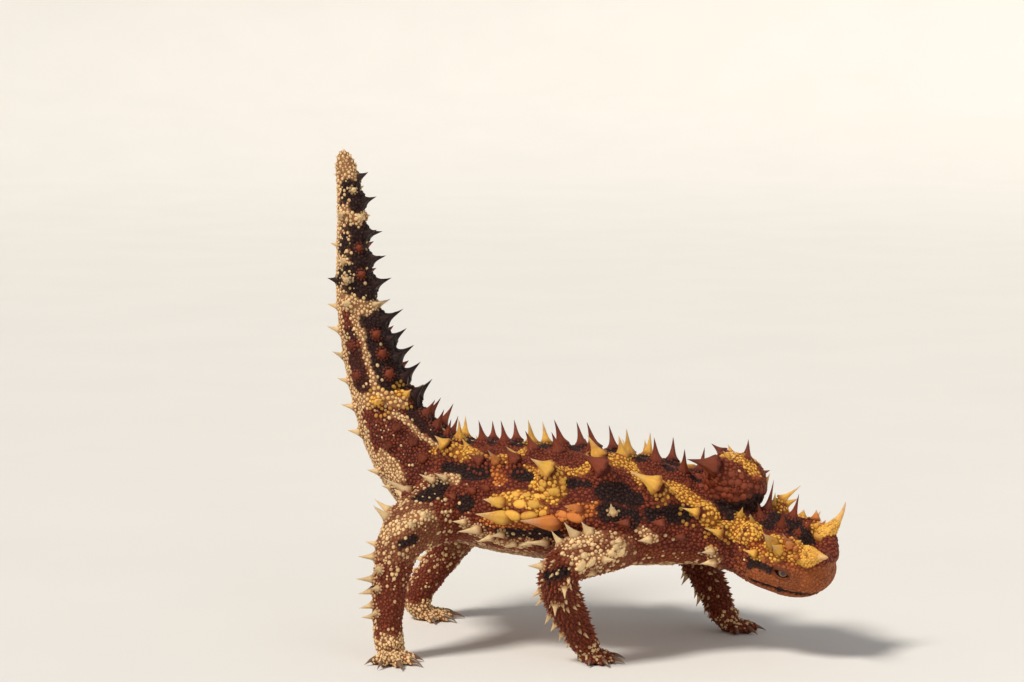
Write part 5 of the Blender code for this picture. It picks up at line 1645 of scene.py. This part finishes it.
def hide_paint(name, colours, brightness, tip, foot, roughness, cell_scale, depth):
    """The animal's markings on skin, scales or spines: the tones mixed, mottled, paler at the tips, and with
    painted shade at the foot, up to a share of the height. The cells are the finest scales, which only the
    bump shows."""
    paint = Paint(name, roughness)
    tones = paint.node("ShaderNodeAttribute", {"attribute_name": "tones"}, {}, "Color")
    split = paint.node("ShaderNodeSeparateColor", {}, {0: tones}, 0)
    ochre = split
    cream = Sum(paint, split.socket.node.outputs[1])
    dark = Sum(paint, split.socket.node.outputs[2])
    orange = Sum(paint, tones.socket.node.outputs["Alpha"])
    red = 1 - ochre - cream - dark - orange
    chance = paint.number("chance")
    blotch = paint.speckle(420.0)
    warm = paint.mixed((*colours.ochre, 1), (*colours.orange, 1), paint.ramp(blotch, 0.52, 0.72) * 0.55)
    total = paint.scaled(warm, ochre)
    total = paint.added(total, paint.scaled(tuple(colours.cream), cream))
    total = paint.added(total, paint.scaled(tuple(colours.dark), dark))
    total = paint.added(total, paint.scaled(tuple(colours.orange), orange))
    total = paint.added(total, paint.scaled(tuple(colours.red_brown), red))
    mottle = 0.72 + 0.34 * chance + 0.30 * paint.speckle(1500.0)
    total = paint.scaled(total, mottle * brightness)
    along = paint.number("along")
    if tip:
        pale = paint.scaled(tuple(0.5 * value for value in colours.tip), ochre + cream + orange)
        tip_colour = paint.added(paint.scaled(total, 0.42), pale)
        total = paint.mixed(total, tip_colour, paint.ramp(along, 0.35, 1.0) * tip)
    # Painted shade: towards the foot the colour is multiplied by the shade tint, as if shade fell between the
    # scales.
    if foot:
        painted_shade = paint.mixed(PAINTED_SHADE_TINT, (1, 1, 1, 1), paint.ramp(along, 0.0, foot))
        total = paint.node("ShaderNodeVectorMath", {"operation": "MULTIPLY"}, {0: total, 1: painted_shade})
    paint.colour(total)
    paint.rough(roughness - 0.12 + 0.24 * paint.speckle(900.0))
    fine = paint.ramp(paint.cells(cell_scale), 0.0, 0.28) + 0.35 * paint.speckle(cell_scale * 1.6)
    paint.bump(fine, depth)
    return paint.material


class DevilSizes(bpy.types.PropertyGroup):
    skin_grain: bpy.props.FloatProperty(
        name="Skin grain", description="Spacing of the skin's points", default=0.00046, min=0.0003,
        unit="LENGTH")
    skin_smoothing: bpy.props.IntProperty(
        name="Skin smoothing", description="How many times the melted skin is smoothed", default=5, min=0)
    scale_spacing: bpy.props.FloatProperty(
        name="Scale spacing", description="Factor on the spacing of the scales", default=1.0, min=0.5)
    scale_tries: bpy.props.FloatProperty(
        name="Scale tries", description="Places tried for each scale that could fit", default=5.0, min=1.0)


def colour_property(name, description, default):
    return bpy.props.FloatVectorProperty(name=name, description=description, subtype="COLOR", default=default)


class DevilColours(bpy.types.PropertyGroup):
    ochre: colour_property("Ochre", "The yellow bands and cones", (0.84, 0.45, 0.072))
    orange: colour_property("Orange", "The lower edges of the bands", (0.62, 0.20, 0.040))
    cream: colour_property("Cream", "Pale scales of legs, tail and flank", (0.84, 0.58, 0.29))
    red_brown: colour_property("Red-brown", "The ground of the body", (0.235, 0.044, 0.015))
    dark: colour_property("Dark", "The darkest bands", (0.030, 0.008, 0.005))
    tip: colour_property("Tips", "The horny tips of the spines", (0.80, 0.62, 0.42))
    iris: colour_property("Iris", "The eye's iris", (0.22, 0.09, 0.03))
    claw: colour_property("Claws", "The claws", (0.09, 0.05, 0.03))
    floor: colour_property("Floor", "The studio floor", (0.78, 0.76, 0.72))


made = {}


def body():
    if "body" not in made:
        made["body"] = Body()
    return made["body"]


class DEVIL_OT_skin(bpy.types.Operator):
    """Melt the flesh into one skin with mounds, folds, mouth and nostrils"""

    bl_idname = "thorny_devil.skin"
    bl_label = "Skin"

    def execute(self, context):
        colours = context.scene.devil_colours
        obj, made["surface"] = skin_object(body(), context.scene.devil_sizes)
        # The skin paint darkens all skin whose 'along' is below 1.0 with painted shade.
        obj.data.materials.append(hide_paint("skin_hide", colours, 0.9, 0.0, 1.0, 0.7, 2600.0, 0.00014))
        return {"FINISHED"}


def add_scales(coat, shape, scales, chosen):
    """Adds the chosen scales to a coat as copies of a shape."""
    places = bake_places(body(), scales.part[chosen], scales.distance[chosen], scales.angle[chosen])
    points = scale_points(shape, scales, chosen)
    coat.add(shape, points, scales.tones[chosen], scales.chance[chosen], places)


class DEVIL_OT_scales(bpy.types.Operator):
    """Cover the skin with scales, in rings round the spines and scattered between them"""

    bl_idname = "thorny_devil.scales"
    bl_label = "Scales"

    def execute(self, context):
        colours = context.scene.devil_colours
        scales = scattered_scales(body(), made["surface"], context.scene.devil_sizes)
        small, large = dome_shape(6, 2), dome_shape(12, 4)
        # The scales get painted shade towards their foot, up to 0.8 of their height.
        paint = hide_paint("scale_hide", colours, 1.0, 0.0, 0.8, 0.52, 4200.0, 0.00005)
        big = 0.68 * UNIT
        for name, own in scale_groups(scales).items():
            if not own.any():
                continue
            coat = Coat()
            for shape, fits in ((small, scales.radius < big), (large, scales.radius >= big)):
                chosen = own & fits
                if chosen.any():
                    add_scales(coat, shape, scales, chosen)
            slot = "leg_skin" if "hind" in name or "front" in name else "skin"
            linked(name, coat.mesh(name), slot).data.materials.append(paint)
        coat = Coat()
        rng = np.random.default_rng(SEED + 2)
        for place, up, forward, name, (distance, angle), scute in scute_roots(body(), made["surface"]):
            turned = Matrix.Rotation(math.radians(scute.turn), 3, Vector(up)) @ Vector(forward)
            lie = unit(np.array(turned) - (np.array(turned) @ up) * up)
            side = np.cross(up, lie)
            x, y, z = large.points.T * UNIT
            points = (place + np.outer(x * scute.half_length, lie) + np.outer(y * scute.half_width, side)
                      + np.outer(z * scute.height - 0.2 * UNIT, up))
            spot = bake_places(body(), np.array([PARTS.index(name)]), np.array([distance]), np.array([angle]))
            coat.add(large, points[None], tone_row(scute.tone)[None], np.array([rng.uniform()]), spot)
        linked("scutes", coat.mesh("scutes"), "skin").data.materials.append(paint)
        return {"FINISHED"}


class DEVIL_OT_spines(bpy.types.Operator):
    """Set the spines of back, flank, tail, head and legs on their mounds"""

    bl_idname = "thorny_devil.spines"
    bl_label = "Spines"

    def execute(self, context):
        colours = context.scene.devil_colours
        # The spines get painted shade at their foot, up to 0.24 of their length.
        paint = hide_paint("spine_horn", colours, 0.92, 0.85, 0.24, 0.38, 5200.0, 0.00005)
        shapes = {kind: spine_shape(form, 20) for kind, form in FORMS.items()}
        rng = np.random.default_rng(SEED + 3)
        coats = {}
        for name, distance, angle, root, normal, out, forward, spine in spine_roots(body(), made["surface"]):
            group = "spines_" + (name if name != "trunk" else "tail" if distance < TAIL_END else "trunk")
            add_spine(coats.setdefault(group, Coat()), shapes[spine.form], body(), root, out, forward, normal,
                      name, distance, angle, spine, rng)
        for group, coat in coats.items():
            slot = "leg_skin" if "hind" in group or "front" in group else "skin"
            linked(group, coat.mesh(group), slot).data.materials.append(paint)
        return {"FINISHED"}


def tapered_horn(root, out, bow, length, radius, profile, grooves):
    """A horn along a bowed line, round in section, with grooves that fade towards its tip."""
    rings, shares = [], np.linspace(0, 1, 22)
    for share in shares:
        width = np.interp(share, [row[0] for row in profile], [row[1] for row in profile])
        matrix = turned_to(Vector(root + out * share * length + bow * share * (1 - share)), out)
        turns = np.arange(20) * math.tau / 20
        groove = 1 + 0.05 * np.cos(grooves * turns) * (1 - share)
        rings.append([matrix @ Vector((width * radius * g * math.cos(t), width * radius * g * math.sin(t), 0))
                      for g, t in zip(groove, turns)])
    return ring_loft(rings)


def mesh_of(bm, name):
    mesh = bpy.data.meshes.new(name)
    bm.to_mesh(mesh)
    bm.free()
    mesh.shade_smooth()
    return mesh


def horn_attributes(mesh, root, out, length, tone, chance):
    """Tones and the share along the horn, for the horn's paint."""
    points = points_of(mesh)
    set_colours(mesh, np.tile(tone_row(tone), (len(points), 1)))
    set_numbers(mesh, "along", np.clip((points - root) @ out / length, 0, 1))
    set_numbers(mesh, "chance", np.full(len(points), chance))


class DEVIL_OT_horns(bpy.types.Operator):
    """Set the two brow horns over the eyes"""

    bl_idname = "thorny_devil.horns"
    bl_label = "Brow horns"

    def execute(self, context):
        # The horns get painted shade at their foot, up to 0.2 of their length.
        paint = hide_paint("brow_horn", context.scene.devil_colours, 1.0, 0.8, 0.2, 0.38, 3600.0, 0.00006)
        profile = ((0, 1.0), (0.2, 0.84), (0.38, 0.5), (0.5, 0.36), (0.64, 0.25), (0.85, 0.12), (1, 0.03))
        tube = body().tubes["head"]
        turn = np.array(HEAD_MATRIX)[:3, :3]
        length = (HORN_LENGTH + HORN_SINK) * UNIT
        for word, point in HORN_POINTS.items():
            side = math.copysign(1, point[1])
            root = tube.places(HORN_AT[0], side * HORN_AT[1], -HORN_SINK)[0]
            out = unit(turn @ np.array(point))
            bow = tube.forwards(HORN_AT[0])[0] * HORN_BOW * length
            name = "brow_horn_" + word
            radius = HORN_WIDTH * HORN_RADIUS * UNIT
            mesh = mesh_of(tapered_horn(root, out, bow, length, radius, profile, HORN_GROOVES), name)
            horn_attributes(mesh, root, out, length, "ochre", 0.6)
            linked(name, mesh, "horn", "horn_" + word).data.materials.append(paint)
            self.scales(context, word, root, out, bow, length, profile)
        return {"FINISHED"}

    def scales(self, context, word, root, out, bow, length, profile):
        """Rings of scales that climb the horn's foot and grow smaller."""
        rng = np.random.default_rng(SEED + 4)
        side = unit(np.cross(out, bow))
        over = np.cross(side, out)
        places, normals, sizes = [], [], []
        share = 0.14
        while share < 0.52:
            size = 0.5 - 0.4 * share
            width = np.interp(share, [row[0] for row in profile], [row[1] for row in profile])
            ring = HORN_WIDTH * HORN_RADIUS * width
            count = max(int(math.tau * ring / (1.7 * size)), 5)
            start = rng.uniform(0, math.tau)
            for turn in start + np.arange(count) * math.tau / count:
                flat = math.cos(turn) * side + math.sin(turn) * over
                spot = share + rng.uniform(-0.012, 0.012)
                middle = root + out * spot * length + bow * spot * (1 - spot)
                places.append(middle + flat * ring * 0.97 * UNIT)
                normals.append(unit(flat + 0.35 * out))
                sizes.append(size * rng.uniform(0.85, 1.1) * UNIT)
            share += 1.5 * size * UNIT / length
        places, normals, sizes = np.array(places), np.array(normals), np.array(sizes)
        count = len(places)
        part, distance, angle = body().located(places)
        even = np.ones(count)
        tangents = unit(out - (normals @ out)[:, None] * normals)
        tones = np.tile(tone_row("ochre"), (count, 1))
        scales = Scales(places, normals, tangents, sizes, 1.2 * even, 0.9 * even, 0.35 * even, 0.25 * even,
                        tones, rng.uniform(size=count), part, distance, angle)
        coat = Coat()
        add_scales(coat, dome_shape(8, 3), scales, np.ones(count, bool))
        name = "brow_scales_" + word
        paint = bpy.data.materials["scale_hide"]
        linked(name, coat.mesh(name), "skin").data.materials.append(paint)


class DEVIL_OT_eyes(bpy.types.Operator):
    """Set the eyeballs in their sockets with a rim of lid round each"""

    bl_idname = "thorny_devil.eyes"
    bl_label = "Eyes and lids"

    def execute(self, context):
        colours = context.scene.devil_colours
        lid_paint = hide_paint("lid_hide", colours, 0.9, 0.0, 0.0, 0.5, 3800.0, 0.00008)
        paint = Paint("eyeball", 0.08, 1.0)
        gaze = paint.number("along")
        iris = paint.mixed((*colours.iris, 1), (0.006, 0.003, 0.002, 1), paint.ramp(gaze, 0.955, 0.97))
        white = paint.mixed((0.012, 0.006, 0.004, 1), iris, paint.ramp(gaze, 0.86, 0.90))
        paint.colour(paint.scaled(white, 0.75 + 0.5 * paint.speckle(2600.0)))
        for word, sign in (("left", 1), ("right", -1)):
            centre = HEAD_MATRIX @ (Vector((EYE_PLACE[0], sign * EYE_PLACE[1], EYE_PLACE[2])) * UNIT)
            bm = bmesh.new()
            bmesh.ops.create_uvsphere(bm, u_segments=48, v_segments=32, radius=EYE_RADIUS * UNIT,
                                      matrix=Matrix.Translation(centre))
            mesh = mesh_of(bm, "eyeball_" + word)
            look = HEAD_MATRIX.to_3x3() @ Vector((0.2, sign, 0.05)).normalized()
            points = points_of(mesh)
            set_numbers(mesh, "along", (points - np.array(centre)) @ np.array(look) / (EYE_RADIUS * UNIT))
            linked("eyeball_" + word, mesh, "eye", "eye_" + word).data.materials.append(paint.material)
            self.lid(word, sign, lid_paint)
        return {"FINISHED"}

    def lid(self, word, sign, paint):
        """An almond rim round the eye, thicker above."""
        rings = []
        for turn in np.arange(40) * math.tau / 40:
            high = 1.28 * math.sin(turn) * (1 - 0.25 * math.cos(turn) ** 2)
            line = Vector((EYE_PLACE[0] + 2.15 * math.cos(turn), 0, EYE_PLACE[2] + high))
            line.y = sign * (EYE_PLACE[1] + 1.95 - 0.12 * (line.x - EYE_PLACE[0]) ** 2 - 0.1 * high**2)
            out = Vector((math.cos(turn), 0, math.sin(turn)))
            thick = 0.5 + 0.16 * math.sin(turn)
            ring = []
            for roll in np.arange(8) * math.tau / 8:
                offset = thick * (math.cos(roll) * out + math.sin(roll) * Vector((0, sign, 0)))
                ring.append(HEAD_MATRIX @ ((line + offset) * UNIT))
            rings.append(ring)
        mesh = mesh_of(ring_loft(rings, closed=True), "lid_" + word)
        count = len(mesh.vertices)
        set_colours(mesh, np.tile((0, 0, 0.45, 0.1), (count, 1)))
        set_numbers(mesh, "along", np.zeros(count))
        set_numbers(mesh, "chance", np.full(count, 0.5))
        linked("lid_" + word, mesh, "skin").data.materials.append(paint)


class DEVIL_OT_claws(bpy.types.Operator):
    """Set a claw on each toe"""

    bl_idname = "thorny_devil.claws"
    bl_label = "Claws"

    def execute(self, context):
        colours = context.scene.devil_colours
        paint = Paint("claw_horn", 0.3)
        along = paint.number("along")
        pale = tuple(min(3.2 * value, 1) for value in colours.claw)
        paint.colour(paint.mixed((*colours.claw, 1), (*pale, 1), paint.ramp(along, 0.1, 0.7) * 0.6))
        paint.rough(0.22 + 0.2 * paint.speckle(1800.0))
        profile = ((0, 1.0), (0.25, 0.9), (0.5, 0.66), (0.75, 0.38), (1, 0.06))
        for leg in LEGS:
            whole = bmesh.new()
            roots = []
            for _, knuckle, tip in toe_places(leg):
                start = np.array(knuckle + (knuckle - tip) * 0.25)
                span = np.array(tip) - start
                length = np.linalg.norm(span)
                lift = np.array([0, 0, 1.0]) * 0.5 * length
                merge(whole, tapered_horn(start, span / length, lift, length, CLAW_RADIUS * UNIT, profile, 0))
                roots.append((start, length))
            name = "claws_" + leg
            mesh = mesh_of(whole, name)
            points = points_of(mesh)
            gaps = np.array([np.linalg.norm(points - start, axis=1) for start, _ in roots])
            set_numbers(mesh, "along", np.clip(gaps.min(axis=0) / roots[2][1], 0, 1))
            linked(name, mesh, "horn").data.materials.append(paint.material)
        return {"FINISHED"}


class DEVIL_OT_stage(bpy.types.Operator):
    """Add the pale floor, the studio lights and the photograph's camera"""

    bl_idname = "thorny_devil.stage"
    bl_label = "Stage"

    def execute(self, context):
        colours = context.scene.devil_colours
        turns = np.arange(96) * math.tau / 96
        rings = [[Vector((radius * math.cos(turn), radius * math.sin(turn), height)) for turn in turns]
                 for radius, height in FLOOR_RINGS]
        bm = ring_loft(rings, capped=False)
        inner = [edge for edge in bm.edges if edge.is_boundary and edge.calc_length() < FLOOR_RINGS[0][0]]
        bmesh.ops.holes_fill(bm, edges=inner, sides=0)
        mesh = mesh_of(bm, "studio_floor")
        floor = bpy.data.objects.new("studio_floor", mesh)
        context.scene.collection.objects.link(floor)
        paint = Paint("studio_floor", 0.9)
        paint.colour(paint.scaled(tuple(colours.floor), 0.97 + 0.06 * paint.speckle(14.0)))
        mesh.materials.append(paint.material)
        key = bpy.data.lights.new("key_light", "SUN")
        key.energy, key.angle, key.color = 3.0, math.radians(14), (1.0, 0.95, 0.88)
        self.aim(context, key, (-0.30, -0.34, 0.62))
        fill = bpy.data.lights.new("fill_light", "AREA")
        fill.shape, fill.size, fill.energy, fill.color = "DISK", 0.5, 0.9, (0.93, 0.96, 1.0)
        self.aim(context, fill, (0.55, -0.5, 0.3))
        world = bpy.data.worlds.new("studio")
        world.use_nodes = True
        world.node_tree.nodes["Background"].inputs["Color"].default_value = (0.95, 0.96, 1.0, 1)
        world.node_tree.nodes["Background"].inputs["Strength"].default_value = 0.3
        context.scene.world = world
        context.scene.view_settings.view_transform = "Standard"
        camera = bpy.data.cameras.new("photo_camera")
        camera.lens, camera.sensor_width = CAMERA_LENS, 36.0
        camera.clip_start, camera.clip_end = 0.001, 50.0
        obj = bpy.data.objects.new("photo_camera", camera)
        obj.location = SHIFT @ (Vector(CAMERA_PLACE) * UNIT)
        obj.rotation_euler = (math.radians(90 - CAMERA_DOWN), 0, math.radians(CAMERA_TURN))
        context.scene.collection.objects.link(obj)
        context.scene.camera = obj
        return {"FINISHED"}

    def aim(self, context, light, place):
        obj = bpy.data.objects.new(light.name, light)
        obj.location = place
        obj.rotation_euler = (Vector((0, 0, 0.04)) - Vector(place)).to_track_quat("-Z", "Y").to_euler()
        context.scene.collection.objects.link(obj)


OPERATORS = (DEVIL_OT_skin, DEVIL_OT_scales, DEVIL_OT_spines, DEVIL_OT_horns, DEVIL_OT_eyes, DEVIL_OT_claws,
             DEVIL_OT_stage)


class DEVIL_PT_panel(bpy.types.Panel):
    """Sizes, colours and pieces of the thorny devil"""

    bl_label = "Thorny devil"
    bl_idname = "DEVIL_PT_panel"
    bl_space_type = "VIEW_3D"
    bl_region_type = "UI"
    bl_category = "Thorny devil"

    def draw(self, context):
        for group in (context.scene.devil_sizes, context.scene.devil_colours):
            for name in group.bl_rna.properties.keys():
                if name not in ("rna_type", "name"):
                    self.layout.prop(group, name)
        for operator in OPERATORS:
            self.layout.operator(operator.bl_idname)


def register():
    for group in (DevilSizes, DevilColours, *OPERATORS, DEVIL_PT_panel):
        bpy.utils.register_class(group)
    bpy.types.Scene.devil_sizes = bpy.props.PointerProperty(type=DevilSizes)
    bpy.types.Scene.devil_colours = bpy.props.PointerProperty(type=DevilColours)


def unregister():
    del bpy.types.Scene.devil_colours
    del bpy.types.Scene.devil_sizes
    for group in reversed((DevilSizes, DevilColours, *OPERATORS, DEVIL_PT_panel)):
        bpy.utils.unregister_class(group)


def main():
    register()
    for operator in OPERATORS:
        section, name = operator.bl_idname.split(".")
        getattr(getattr(bpy.ops, section), name)()


if __name__ == "__main__":
    main()
